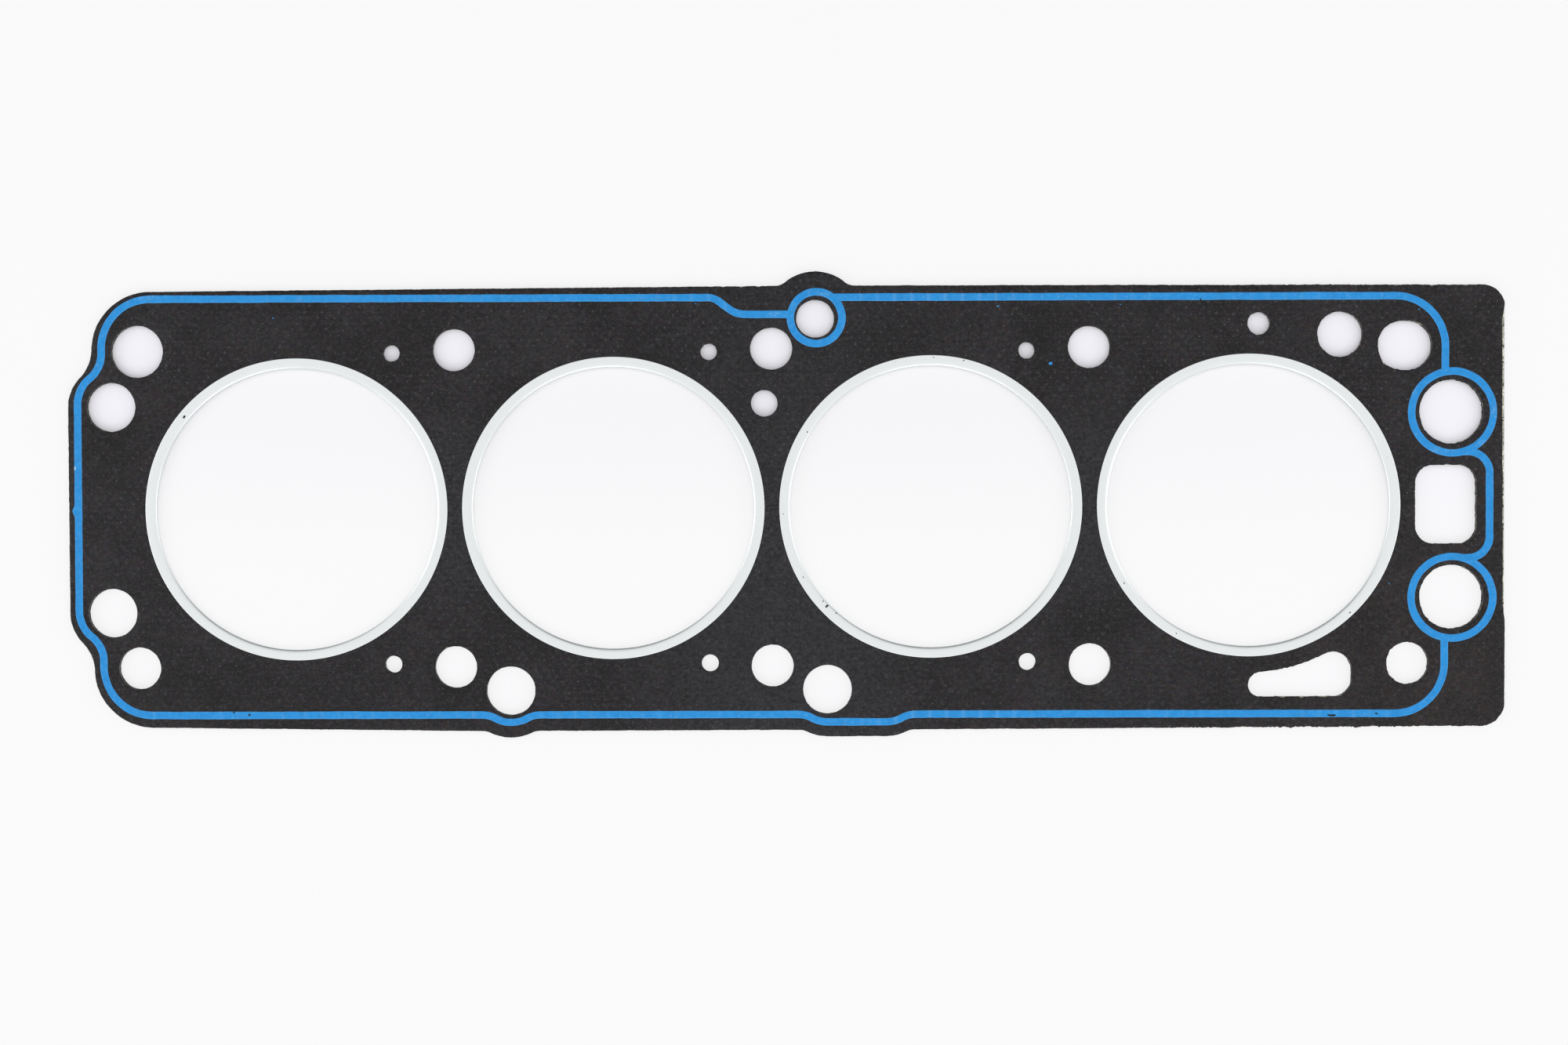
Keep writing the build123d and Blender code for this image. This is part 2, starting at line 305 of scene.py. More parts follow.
def inside(points: np.ndarray, line: np.ndarray) -> np.ndarray:
    """Says which points lie inside a closed line.

    Args:
        points: The points, one row each.
        line: The closed line.

    Returns:
        One truth value for each point.
    """
    result = np.zeros(len(points), bool)
    low, high = line.min(axis=0), line.max(axis=0)
    near = np.nonzero(((points >= low) & (points <= high)).all(axis=1))[0]
    x1, y1 = line[:, 0], line[:, 1]
    x2, y2 = np.roll(x1, -1), np.roll(y1, -1)
    for block in np.array_split(near, max(len(near) // POINTS_AT_ONCE, 1)):
        px, py = points[block, 0:1], points[block, 1:2]
        spans = (y1 > py) != (y2 > py)
        with np.errstate(divide="ignore", invalid="ignore"):
            cross_x = x1 + (py - y1) * (x2 - x1) / (y2 - y1)
        result[block] = (np.count_nonzero(spans & (px < cross_x), axis=1) % 2) == 1
    return result


# Shapes of the gasket


def oil_feed_disc(r: float) -> Disc:
    """Disc of a radius round the oil feed hole."""
    return Disc(OIL_FEED[0], OIL_FEED[1], r)


def return_discs(r: float) -> tuple[Disc, Disc, Disc]:
    """Discs of a radius round the two oil returns, and the far end of the long bulge."""
    first, second = [Disc(x + RETURN_OFFSET_X, RETURN_Y, r) for x in RETURN_COLUMNS]
    return first, second, replace(second, x=second.x + LONG_BULGE_LENGTH)


def ear_discs(r: float) -> list[Disc]:
    """Discs of a radius round the upper and lower port of the plain end."""
    return [Disc(-END_X - PLAIN_PORT[0], y, r) for y in (PLAIN_PORT[1], -PLAIN_PORT[1])]


def plain_end(ear_r: float, neck_x: float, neck_r: float, corner_y: float, corner_r: float) -> list[Disc]:
    """Discs down the plain end.

    Args:
        ear_r: Radius round each port.
        neck_x: Place of the upright lines beside the ears.
        neck_r: Radius of the blends into them.
        corner_y: Height of the upper corner, and depth of the lower one.
        corner_r: Radius of the corners.

    Returns:
        The discs from the upper corner to the lower one.
    """
    upper, lower = ear_discs(ear_r)
    return [
        Disc(neck_x + corner_r, corner_y - corner_r, corner_r),
        beside_upright(upper, neck_x, neck_r, 1, -1),
        upper,
        lower,
        beside_upright(lower, neck_x, neck_r, -1, -1),
        Disc(neck_x + corner_r, -corner_y + corner_r, corner_r),
    ]


def lower_side(edge_y: float, bulge_r: float, blend_r: float) -> list[Disc]:
    """Discs along the lower side: a bulge round one oil return, and a long one past the other.

    Args:
        edge_y: Height of the straight stretches.
        bulge_r: Radius round the oil returns.
        blend_r: Radius of the blends into the bulges.

    Returns:
        The discs from left to right.
    """
    first, second, far = return_discs(bulge_r)
    return [
        beside_level(first, edge_y, blend_r, -1, -1),
        first,
        beside_level(first, edge_y, blend_r, 1, -1),
        beside_level(second, edge_y, blend_r, -1, -1),
        second,
        far,
        beside_level(far, edge_y, blend_r, 1, -1),
    ]


def outline() -> np.ndarray:
    """Outer line of the three sheets, anticlockwise.

    Returns:
        The line's points, one row each.
    """
    right = END_X + WIDE_EDGE_OFFSET_X - WIDE_CORNER_R
    feed = oil_feed_disc(BULGE_R)
    return belt(
        plain_end(EAR_R, -END_X - NECK_OFFSET_X, NECK_BLEND_R, PLAIN_CORNER_Y, PLAIN_CORNER_R)
        + lower_side(BOTTOM_EDGE_Y, BULGE_R, BULGE_BLEND_R)
        + [
            Disc(right, WIDE_BOTTOM_CORNER_Y + WIDE_CORNER_R, WIDE_CORNER_R),
            Disc(right, WIDE_TOP_CORNER_Y - WIDE_CORNER_R, WIDE_CORNER_R),
            beside_level(feed, TOP_EDGE_Y, BULGE_BLEND_R, 1, 1),
            feed,
            beside_level(feed, TOP_EDGE_Y, BULGE_BLEND_R, -1, 1),
        ]
    )


def coolant_window() -> np.ndarray:
    """Rectangular window with round corners.

    Returns:
        The line's points, one row each.
    """
    x = END_X + WINDOW_OFFSET_X
    half_w = WINDOW_SIZE[0] / 2 - WINDOW_CORNER_R
    half_h = WINDOW_SIZE[1] / 2 - WINDOW_CORNER_R
    corners = ((-1, 1), (-1, -1), (1, -1), (1, 1))
    return belt([Disc(x + sx * half_w, sy * half_h, WINDOW_CORNER_R) for sx, sy in corners])


def wedge_window() -> np.ndarray:
    """Window whose upper side is an arc round the last bore.

    Returns:
        The line's points, one row each.
    """
    round_bore = Disc(BORE_XS[-1], 0.0, WEDGE_ARC_R, -1)
    tip_x = round_bore.x - WEDGE_START + WEDGE_TIP_R
    right = round_bore.x + WEDGE_END
    crown = beside_upright(round_bore, right, WEDGE_CROWN_R, -1, -1)
    return belt(
        [
            Disc(tip_x, WEDGE_FLOOR_Y + WEDGE_TIP_R, WEDGE_TIP_R),
            Disc(right - WEDGE_HEEL_R, WEDGE_FLOOR_Y + WEDGE_HEEL_R, WEDGE_HEEL_R),
            replace(crown, side=1),
            round_bore,
        ]
    )


def dowel_slot() -> np.ndarray:
    """Long dowel hole at the wide end of the upper bolt row.

    Returns:
        The line's points, one row each.
    """
    half = (DOWEL_SLOT_LENGTH - DOWEL_SLOT_W) / 2
    x = END_X - DOWEL_SLOT_INSET
    return belt([Disc(x + side * half, BOLT_ROW_Y, DOWEL_SLOT_W / 2) for side in (-1, 1)])


def round_holes() -> list[tuple[float, float, float]]:
    """Centre and diameter of each round hole through all three sheets.

    Returns:
        A centre x, a centre y and a diameter for each hole.
    """
    holes = [(x, -BOLT_ROW_Y, BOLT_HOLE_D) for x in BOLT_XS]
    holes += [(x, BOLT_ROW_Y, BOLT_HOLE_D) for x in BOLT_XS[1:-1]]
    holes.append((-END_X, BOLT_ROW_Y, DOWEL_HOLE_D))
    holes.append(OIL_FEED)
    holes += [(x + RETURN_OFFSET_X, RETURN_Y, RETURN_D) for x in RETURN_COLUMNS]
    holes += [(d.x, d.y, PLAIN_PORT[2]) for d in ear_discs(EAR_R)]
    holes += [(END_X + WIDE_PORT[0], y, WIDE_PORT[2]) for y in (WIDE_PORT[1], -WIDE_PORT[1])]
    for bore_x in BORE_XS[:-1]:
        holes.append((bore_x + VENT_OFFSET_X, VENT_Y, UPPER_VENT_D))
        holes.append((bore_x + VENT_OFFSET_X, -VENT_Y, LOWER_VENT_D))
    holes.append(MIDDLE_VENT)
    holes.append((END_X - CORNER_PORT[0], CORNER_PORT[1], CORNER_PORT[2]))
    holes.append((BORE_XS[-1] + SMALL_PORT[0], SMALL_PORT[1], SMALL_PORT[2]))
    return holes


def bead_track() -> list[Disc]:
    """Centre line of the perimeter bead. Its hidden turns lie inside the rings that it joins.

    Returns:
        The discs of the closed line.
    """
    wide_x = END_X + BEAD_WIDE_OFFSET_X
    outer_x = END_X + BEAD_OUTER_OFFSET_X - BEAD_OUTER_R
    outer_y = BEAD_OUTER_REACH_Y - BEAD_OUTER_R
    corner_x = wide_x - BEAD_WIDE_CORNER_R
    corner_y = BEAD_RUN_Y - BEAD_WIDE_CORNER_R
    turn = BEAD_HIDDEN_TURN_R
    return (
        plain_end(BEAD_EAR_R, -END_X - BEAD_NECK_OFFSET_X, BEAD_NECK_R, BEAD_RUN_Y, BEAD_PLAIN_CORNER_R)
        + lower_side(-BEAD_RUN_Y, BEAD_BULGE_R, BEAD_BULGE_BLEND_R)
        + [
            Disc(corner_x, -corner_y, BEAD_WIDE_CORNER_R),
            Disc(wide_x + turn, -BEAD_OUTER_REACH_Y - turn, turn, -1),
            Disc(outer_x, -outer_y, BEAD_OUTER_R),
            Disc(outer_x, outer_y, BEAD_OUTER_R),
            Disc(wide_x + turn, BEAD_OUTER_REACH_Y + turn, turn, -1),
            Disc(corner_x, corner_y, BEAD_WIDE_CORNER_R),
            Disc(OIL_FEED[0] + turn, BEAD_RUN_Y - turn, turn),
            Disc(OIL_FEED[0] - turn, BEAD_STEP_Y + turn, turn, -1),
            Disc(BEAD_STEP_START_X, BEAD_STEP_Y + BEAD_STEP_LOW_R, BEAD_STEP_LOW_R, -1),
            Disc(BEAD_STEP_END_X, BEAD_RUN_Y - BEAD_STEP_HIGH_R, BEAD_STEP_HIGH_R),
        ]
    )


def bead_rings() -> list[tuple[float, float, float]]:
    """Centre and middle radius of each bead ring.

    Returns:
        A centre x, a centre y and a radius for each ring.
    """
    rings = [(OIL_FEED[0], OIL_FEED[1], OIL_BEAD_R)]
    rings += [(END_X + WIDE_PORT[0], y, PORT_BEAD_R) for y in (WIDE_PORT[1], -WIDE_PORT[1])]
    return rings


# Irregular edges


@dataclass(frozen=True)
class Wave:
    """Noise of a depth, with peaks about a length apart."""

    depth: float
    length: float


class Wander:
    """Smooth seeded noise along a line."""

    def __init__(self, seed: int) -> None:
        """Starts the noise from a seed."""
        self.random = np.random.default_rng(seed)

    def closed(self, line: np.ndarray, wavelength: float) -> np.ndarray:
        """Makes noise that closes on itself.

        Args:
            line: A closed line of points.
            wavelength: Distance between two peaks, about.

        Returns:
            One value for each point, mostly between -1 and 1.
        """
        gaps = np.linalg.norm(np.roll(line, -1, axis=0) - line, axis=1)
        reach = np.concatenate(([0.0], np.cumsum(gaps)[:-1]))
        total = gaps.sum()
        knots = max(int(round(total / wavelength)), LEAST_KNOTS)
        values = self.random.uniform(-1.0, 1.0, knots)
        place = reach / total * knots
        low = np.floor(place).astype(int)
        blend = place - low
        blend = blend * blend * (3.0 - 2.0 * blend)
        return values[low % knots] * (1.0 - blend) + values[(low + 1) % knots] * blend

    def layered(self, line: np.ndarray, base: float, waves: Sequence[Wave]) -> np.ndarray:
        """Returns a base value with the noise of each wave added, one value for each point.

        Args:
            line: A closed line of points.
            base: The value without noise.
            waves: The noises, in the order they are drawn.

        Returns:
            One value for each point.
        """
        total = np.full(len(line), base)
        for wave in waves:
            total = total + wave.depth * self.closed(line, wave.length)
        return total


def rising(values: np.ndarray, start: float, over: float) -> np.ndarray:
    """Returns a share that goes from 0 at a start to 1 a distance beyond it."""
    return np.clip((values - start) / over, 0.0, 1.0)


@dataclass(frozen=True)
class Nick:
    """A notch in a cut edge, or a tuft where its depth is negative."""

    x: float
    y: float
    width: float = 0.8
    depth: float = 0.35


@dataclass(frozen=True)
class Fray:
    """How ragged a cut edge is.

    Args:
        coarse: The slow waves.
        fine: The quick waves.
        tuft: The odd tufts and pits.
        bias: How far the whole edge moves into the material.
        even: Share of the quick waves along the quiet edges.
        wide_more: What the wide end adds to that share.
        lower_more: What its lower edge adds besides.
        bare_less: Share taken away along the bare edge.
    """

    coarse: Wave = Wave(0.045, 4.0)
    fine: Wave = Wave(0.035, 0.9)
    tuft: Wave = Wave(0.10, 0.55)
    bias: float = 0.02
    even: float = 0.55
    wide_more: float = 0.9
    lower_more: float = 1.3
    bare_less: float = 0.7

    def wear(self, line: np.ndarray) -> np.ndarray:
        """Returns how much rougher the cut is at each point: the wide end, and most of all its lower edge.

        Args:
            line: A closed line of points.

        Returns:
            One factor for each point.
        """
        x, y = line[:, 0], line[:, 1]
        wide = rising(x, *WIDE_WEAR)
        lower = rising(x, *LOWER_WEAR) * rising(-y, -BOTTOM_EDGE_Y - LOWER_WEAR_BAND, LOWER_WEAR_FADE)
        bare = rising(x, END_X + WIDE_EDGE_OFFSET_X - BARE_BAND, BARE_FADE)
        return (self.even + self.wide_more * wide + self.lower_more * lower) * (1.0 - self.bare_less * bare)

    def apply(self, line: np.ndarray, seed: int, nicks: Sequence[Nick]) -> np.ndarray:
        """Returns a line of an edge, with the material on its left, moved to look cut.

        Args:
            line: A closed line of points.
            seed: Start of the draws.
            nicks: Notches and tufts to add.

        Returns:
            The moved line.
        """
        wander = Wander(seed)
        odd = wander.closed(line, self.tuft.length)
        quick = self.fine.depth * wander.closed(line, self.fine.length)
        quick = quick + self.tuft.depth * np.sign(odd) * np.abs(odd) ** 3
        slow = self.coarse.depth * wander.closed(line, self.coarse.length)
        depth = self.bias + slow + quick * self.wear(line)
        for nick in nicks:
            away = np.hypot(line[:, 0] - nick.x, line[:, 1] - nick.y)
            depth = depth + nick.depth * np.exp(-((away / nick.width) ** 2))
        return line + normals(line) * depth[:, None]


HEAD_NICKS = (
    Nick(-14.0, TOP_EDGE_Y, 0.5, 0.3),
    Nick(-8.7, TOP_EDGE_Y, 0.6, 0.35),
    Nick(-3.7, TOP_EDGE_Y, 0.5, 0.3),
    Nick(183.0, 64.3, 0.7, 0.3),
    Nick(193.0, 64.2, 0.6, 0.4),
    Nick(198.0, 64.2, 0.8, 0.3),
    Nick(203.0, 64.2, 0.6, 0.35),
    Nick(138.2, -65.3, 1.6, 0.16),
    Nick(151.0, -65.3, 0.9, -0.16),
    Nick(157.5, -65.3, 0.6, 0.25),
    Nick(163.5, -65.3, 2.2, -0.14),
    Nick(171.0, -65.2, 1.1, -0.22),
    Nick(175.5, -65.2, 0.6, 0.30),
    Nick(190.0, 52.8, 0.7, 0.4),
    Nick(179.6, 41.7, 0.8, 0.4),
    Nick(181.0, -42.9, 0.6, 0.3),
    Nick(181.2, -49.5, 0.7, 0.35),
    Nick(197.8, 11.5, 0.9, 0.3),
    Nick(149.6, -56.2, 0.8, 0.3),
    Nick(155.0, -56.2, 0.6, 0.35),
    Nick(161.5, -56.2, 0.9, 0.3),
    Nick(166.6, -56.2, 0.6, 0.35),
    Nick(-72.3, -51.0, 0.7, 0.3),
    Nick(-96.0, -41.0, 0.7, 0.3),
)


# Meshes


def fill(lines: Sequence[np.ndarray], extra: np.ndarray) -> np.ndarray:
    """Fills the first line less the others with triangles.

    Args:
        lines: The outer line anticlockwise, then the holes clockwise.
        extra: More points that lie in the material.

    Returns:
        Triangles as rows of three indices into the lines' points and then the extra ones.
    """
    points = np.concatenate(list(lines) + [extra])
    owner = np.repeat(np.arange(len(lines) + 1), [len(line) for line in lines] + [len(extra)])
    edges = []
    base = 0
    for line in lines:
        count = len(line)
        edges += [(base + i, base + (i + 1) % count) for i in range(count)]
        base += count
    places = [Vector(p) for p in points.tolist()]
    found = geometry.delaunay_2d_cdt(places, edges, [], WHOLE_HULL, SAME_POINT, True)
    verts, _, faces, origins, _, _ = found
    if len(verts) != len(points):
        raise ValueError(f"the lines cross or touch: {len(points)} points became {len(verts)}")
    source = np.array([o[0] for o in origins])
    triangles = source[np.array(faces)]
    owners = owner[triangles]
    keep = np.ones(len(triangles), bool)
    middles = points[triangles].mean(axis=1)
    for i, line in enumerate(lines):
        own = np.nonzero((owners == i).all(axis=1))[0]
        within = inside(middles[own], line)
        keep[own] = within if i == 0 else ~within
    return triangles[keep]


def lattice(lines: Sequence[np.ndarray], pitch: float, clear: float, seed: int) -> np.ndarray:
    """Scatters points over the material in loose rows.

    Args:
        lines: The outer line, then the holes.
        pitch: Distance between the points.
        clear: Least distance to a line.
        seed: Start of the scatter.

    Returns:
        The points, one row each.
    """
    low, high = lines[0].min(axis=0), lines[0].max(axis=0)
    xs, ys = np.meshgrid(np.arange(low[0], high[0], pitch), np.arange(low[1], high[1], pitch * ROW_SHARE))
    xs[1::2] += pitch / 2
    points = np.stack((xs.ravel(), ys.ravel()), axis=1)
    points += np.random.default_rng(seed).uniform(-LATTICE_JITTER, LATTICE_JITTER, points.shape) * pitch
    keep = inside(points, lines[0])
    for line in lines[1:]:
        keep &= ~inside(points, line)
    points = points[keep]
    every = np.concatenate(list(lines))
    tree = kdtree.KDTree(len(every))
    for i, (x, y) in enumerate(every.tolist()):
        tree.insert((x, y, 0.0), i)
    tree.balance()
    far = [tree.find((x, y, 0.0))[2] > clear for x, y in points.tolist()]
    return points[np.array(far)]


class MeshPlan:
    """Vertices and faces of one piece while it is worked out, in millimetres."""

    def __init__(self) -> None:
        """Starts empty."""
        self.blocks: list[np.ndarray] = []
        self.faces: list[np.ndarray] = []
        self.count = 0

    def add_points(self, points: np.ndarray) -> int:
        """Adds points and returns the index of the first.

        Args:
            points: Places in space, one row each.

        Returns:
            Index of the first.
        """
        first = self.count
        self.blocks.append(np.asarray(points, float))
        self.count += len(points)
        return first

    def add_faces(self, faces: np.ndarray) -> None:
        """Adds triangles or quads, one row of indices each."""
        self.faces.append(np.asarray(faces, int))

    def join_rows(self, upper: int, lower: int, count: int, closed: bool = True) -> None:
        """Joins two rows of points with quads.

        Args:
            upper: First index of the row on the face's upper side.
            lower: First index of the row below it.
            count: Points in each row.
            closed: Whether the last point is joined to the first.
        """
        here = np.arange(count if closed else count - 1)
        after = (here + 1) % count
        self.add_faces(np.stack((upper + here, lower + here, lower + after, upper + after), axis=1))

    def points(self) -> np.ndarray:
        """Returns every point, one row each."""
        return np.concatenate(self.blocks)

    def build(self, name: str, flip: bool = False) -> bpy.types.Object:
        """Makes the object.

        Args:
            name: Name of the piece.
            flip: Whether the faces are turned round, as for a mirrored piece.

        Returns:
            The new object, in the scene.
        """
        mesh = bpy.data.meshes.new(name)
        faces = [tuple(row) for block in self.faces for row in (block[:, ::-1] if flip else block).tolist()]
        mesh.from_pydata((self.points() * MM).tolist(), [], faces)
        mesh.validate()
        mesh.update()
        piece = bpy.data.objects.new(name, mesh)
        bpy.context.scene.collection.objects.link(piece)
        return piece


def at_level(points: np.ndarray, z: float) -> np.ndarray:
    """Returns points of the plane at a height."""
    return np.column_stack((points, np.full(len(points), z)))


def shade_smooth(piece: bpy.types.Object, angle_deg: float) -> None:
    """Shades a piece smooth, with sharp edges where its faces turn more than an angle."""
    piece.data.shade_smooth()
    piece.data.set_sharp_from_angle(angle=math.radians(angle_deg))


def hand_over(
    piece: bpy.types.Object, material: bpy.types.Material, nodes: Sequence[str] = ()
) -> None:
    """Gives a piece its material and its place on the body.

    Args:
        piece: The new piece.
        material: Its material.
        nodes: Names of the CAD nodes that it stands for.
    """
    piece.data.materials.clear()
    piece.data.materials.append(material)
    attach(piece, "root")
    if nodes:
        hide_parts(*nodes)
    log.info("%s: %d faces", piece.name, len(piece.data.polygons))


# Shader node groups


@dataclass(frozen=True)
class Fade:
    """How a mask follows a value: smoothly from start at low to end at high, and held beyond them."""

    low: float
    high: float
    start: float = 0.0
    end: float = 1.0


@dataclass(frozen=True)
class Texture:
    """A noise: features to the millimetre, octaves, roughness and how much each axis is squeezed."""

    scale: float
    detail: float = 2.0
    roughness: float = 0.5
    squeeze: tuple[float, float, float] | None = None


class Graph:
    """A node tree with short calls to add and join nodes."""

    def __init__(self, tree: bpy.types.NodeTree) -> None:
        """Wraps a tree."""
        self.tree = tree

    def add(self, kind: str, **settings: object) -> bpy.types.Node:
        """Adds a node of a kind and sets its properties.

        Args:
            kind: The node's type.
            settings: Its properties by name.

        Returns:
            The node.
        """
        node = self.tree.nodes.new(kind)
        for key, value in settings.items():
            setattr(node, key, value)
        return node

    def put(self, source: object, target: Socket) -> None:
        """Joins a socket to another, or writes a constant into it.

        Args:
            source: A socket or a constant.
            target: The socket that takes it.
        """
        if isinstance(source, Socket):
            self.tree.links.new(source, target)
        else:
            target.default_value = source

    def chain(self, kind: str, operation: str, values: Sequence[object], clamp: bool = False) -> Socket:
        """Adds a math node of a kind, joins its values and returns its result.

        Args:
            kind: The node's type.
            operation: What it works out.
            values: Its inputs, in order.
            clamp: Whether the result is held between 0 and 1.

        Returns:
            Its first output.
        """
        node = self.add(kind, operation=operation)
        if clamp:
            node.use_clamp = True
        for value, socket in zip(values, node.inputs):
            self.put(value, socket)
        return node.outputs[0]

    def math(self, operation: str, *values: object, clamp: bool = False) -> Socket:
        """Returns the result of an operation on values."""
        return self.chain("ShaderNodeMath", operation, values, clamp)

    def plus(self, first: object, second: object) -> Socket:
        """Returns the sum of two values."""
        return self.math("ADD", first, second)

    def minus(self, first: object, second: object) -> Socket:
        """Returns the first value less the second."""
        return self.math("SUBTRACT", first, second)

    def times(self, first: object, second: object) -> Socket:
        """Returns the product of two values."""
        return self.math("MULTIPLY", first, second)

    def over(self, first: object, second: object) -> Socket:
        """Returns the first value divided by the second."""
        return self.math("DIVIDE", first, second)

    def higher(self, first: object, second: object) -> Socket:
        """Returns the greater of two values."""
        return self.math("MAXIMUM", first, second)

    def size_of(self, value: object) -> Socket:
        """Returns a value without its sign."""
        return self.math("ABSOLUTE", value)

    def length(self, x: object, y: object) -> Socket:
        """Returns the length of a vector in the plane."""
        return self.math("SQRT", self.plus(self.times(x, x), self.times(y, y)))

    def vector(self, operation: str, *values: object) -> Socket:
        """Returns the vector of an operation on vectors."""
        return self.chain("ShaderNodeVectorMath", operation, values)

    def ramp(self, value: object, low: object, high: object, start: float = 0.0, end: float = 1.0) -> Socket:
        """Returns a value taken from low..high to start..end, smoothly and held at the ends.

        Args:
            value: The value.
            low: Where the result is start.
            high: Where the result is end.
            start: Result at low.
            end: Result at high.

        Returns:
            The result.
        """
        node = self.add("ShaderNodeMapRange", interpolation_type="SMOOTHSTEP")
        labels = ("Value", "From Min", "From Max", "To Min", "To Max")
        for label, item in zip(labels, (value, low, high, start, end)):
            self.put(item, node.inputs[label])
        return node.outputs["Result"]

    def fade(self, value: object, fade: Fade) -> Socket:
        """Returns the mask that a fade makes of a value."""
        return self.ramp(value, fade.low, fade.high, fade.start, fade.end)

    def mix(self, factor: object, first: object, second: object, blend: str = "MIX") -> Socket:
        """Returns two colours mixed by a factor.

        Args:
            factor: 0 for the first colour and 1 for the second.
            first: A colour.
            second: A colour.
            blend: How the second is laid over the first.

        Returns:
            The colour.
        """
        node = self.add("ShaderNodeMix", data_type="RGBA", blend_type=blend)
        colours = [s for s in node.inputs if s.type == "RGBA"]
        self.put(factor, node.inputs[0])
        self.put(first, colours[0])
        self.put(second, colours[1])
        return [s for s in node.outputs if s.type == "RGBA"][0]

    def noise_node(self, place: object, texture: Texture) -> bpy.types.Node:
        """Adds the noise of a texture at a place in millimetres.

        Args:
            place: The place.
            texture: Size and character of the noise.

        Returns:
            The node.
        """
        if texture.squeeze:
            place = self.vector("MULTIPLY", place, texture.squeeze)
        node = self.add("ShaderNodeTexNoise")
        self.put(place, node.inputs["Vector"])
        node.inputs["Scale"].default_value = texture.scale
        node.inputs["Detail"].default_value = texture.detail
        node.inputs["Roughness"].default_value = texture.roughness
        return node

    def noise(self, place: object, texture: Texture) -> Socket:
        """Returns the noise of a texture, between 0 and 1."""
        return self.noise_node(place, texture).outputs["Fac"]

    def split(self, vector: object) -> tuple[Socket, ...]:
        """Returns the three parts of a vector."""
        node = self.add("ShaderNodeSeparateXYZ")
        self.put(vector, node.inputs[0])
        return tuple(node.outputs)

    def join(self, x: object, y: object, z: object) -> Socket:
        """Returns a vector of three parts.

        Args:
            x: First part.
            y: Second part.
            z: Third part.

        Returns:
            The vector.
        """
        node = self.add("ShaderNodeCombineXYZ")
        for value, socket in zip((x, y, z), node.inputs):
            self.put(value, socket)
        return node.outputs[0]

    def bump(self, height: object, distance: float, under: object = None) -> Socket:
        """Returns the normal of a height, whose 0 to 1 is a distance in millimetres.

        Args:
            height: A height between 0 and 1.
            distance: What 1 stands for.
            under: Normal that it is added to.

        Returns:
            The normal.
        """
        node = self.add("ShaderNodeBump")
        node.inputs["Strength"].default_value = 1.0
        node.inputs["Distance"].default_value = distance * MM
        self.put(height, node.inputs["Height"])
        if under is not None:
            self.put(under, node.inputs["Normal"])
        return node.outputs["Normal"]


class NodeGroup:
    """A shader node group under construction."""

    def __init__(self, name: str, inputs: dict[str, tuple[str, object]], outputs: dict[str, str]) -> None:
        """Makes the group.

        Args:
            name: Name of the group.
            inputs: Kind and first value of each named input.
            outputs: Kind of each named output.
        """
        self.tree = bpy.data.node_groups.new(name, "ShaderNodeTree")
        for label, (kind, value) in inputs.items():
            socket = self.tree.interface.new_socket(label, in_out="INPUT", socket_type=kind)
            if value is not None:
                socket.default_value = value
        for label, kind in outputs.items():
            self.tree.interface.new_socket(label, in_out="OUTPUT", socket_type=kind)
        self.graph = Graph(self.tree)
        self.source = self.graph.add("NodeGroupInput").outputs
        self.sink = self.graph.add("NodeGroupOutput").inputs

    def out(self, **values: object) -> bpy.types.NodeTree:
        """Joins the named outputs and returns the finished group.

        Args:
            values: A socket or a constant for each output.

        Returns:
            The group.
        """
        for label, value in values.items():
            self.graph.put(value, self.sink[label])
        return self.tree


FLOAT = "NodeSocketFloat"
VECTOR = "NodeSocketVector"

# Where a surface stands upright, by the height of its normal
UPRIGHT = Fade(0.35, 0.8, 1.0, 0.0)

# Marks of the core's tangs in the facings and the prints
TANG_PITCH = 2.48
TANG_ROW_PITCH = 3.4
TANG_MARK_R = 0.46
TANG_JITTER = 0.35
TANG_RIM = Fade(0.2, 1.0, 1.0, 0.0)
TANG_STRENGTH = Fade(0.15, 0.9, 0.2, 1.0)
TANG_EVERY_OTHER = Fade(0.0, 1.0, 1.0, 0.45)

# The fibre sheet
FIBRE_TEXTURES = {
    "Patches": Texture(0.035, 3.0, 0.6),
    "Mottle": Texture(0.95, 3.0, 0.7, (0.9, 1.1, 1.0)),
    "Grain": Texture(2.0, 3.0, 0.7),
    "Streaks": Texture(1.0, 2.0, 0.6, (0.16, 1.3, 1.0)),
    "Tint": Texture(0.42, 3.0, 0.8, (1.0, 1.0, 3.0)),
}
FIBRE_BEND = Texture(0.7)
FIBRE_BEND_DEPTH = (1.6, 1.6, 0.0)
FIBRE_STRETCH = (0.6, 1.1, 1.0)
FIBRE_CELLS = 1.1
FIBRE_LINE = Fade(0.0, 0.06, 1.0, 0.0)
FIBRE_SPARSE = Texture(0.35)
FIBRE_SPARSE_FADE = Fade(0.50, 0.68)
SPECK_TEXTURE = Texture(1.7, 1.0, squeeze=(1.0, 1.6, 1.0))
SPECK_FADE = Fade(0.68, 0.78)
HUE_TEXTURE = Texture(0.5, 2.0, 0.7, (0.85, 1.15, 1.0))
HUE_SPREAD = 1.5

# Torn spots and the marks round the openings
TORN_TEXTURE = Texture(2.5)
TORN_RIM = Fade(0.85, 1.1, 1.0, 0.0)
ROUND_SQUEEZE = (6.0, 9.0)
ROUND_MARKS = Texture(1.0, 4.0, 0.65)
ROUND_PATCHES = Texture(0.11, 3.0, 0.55)


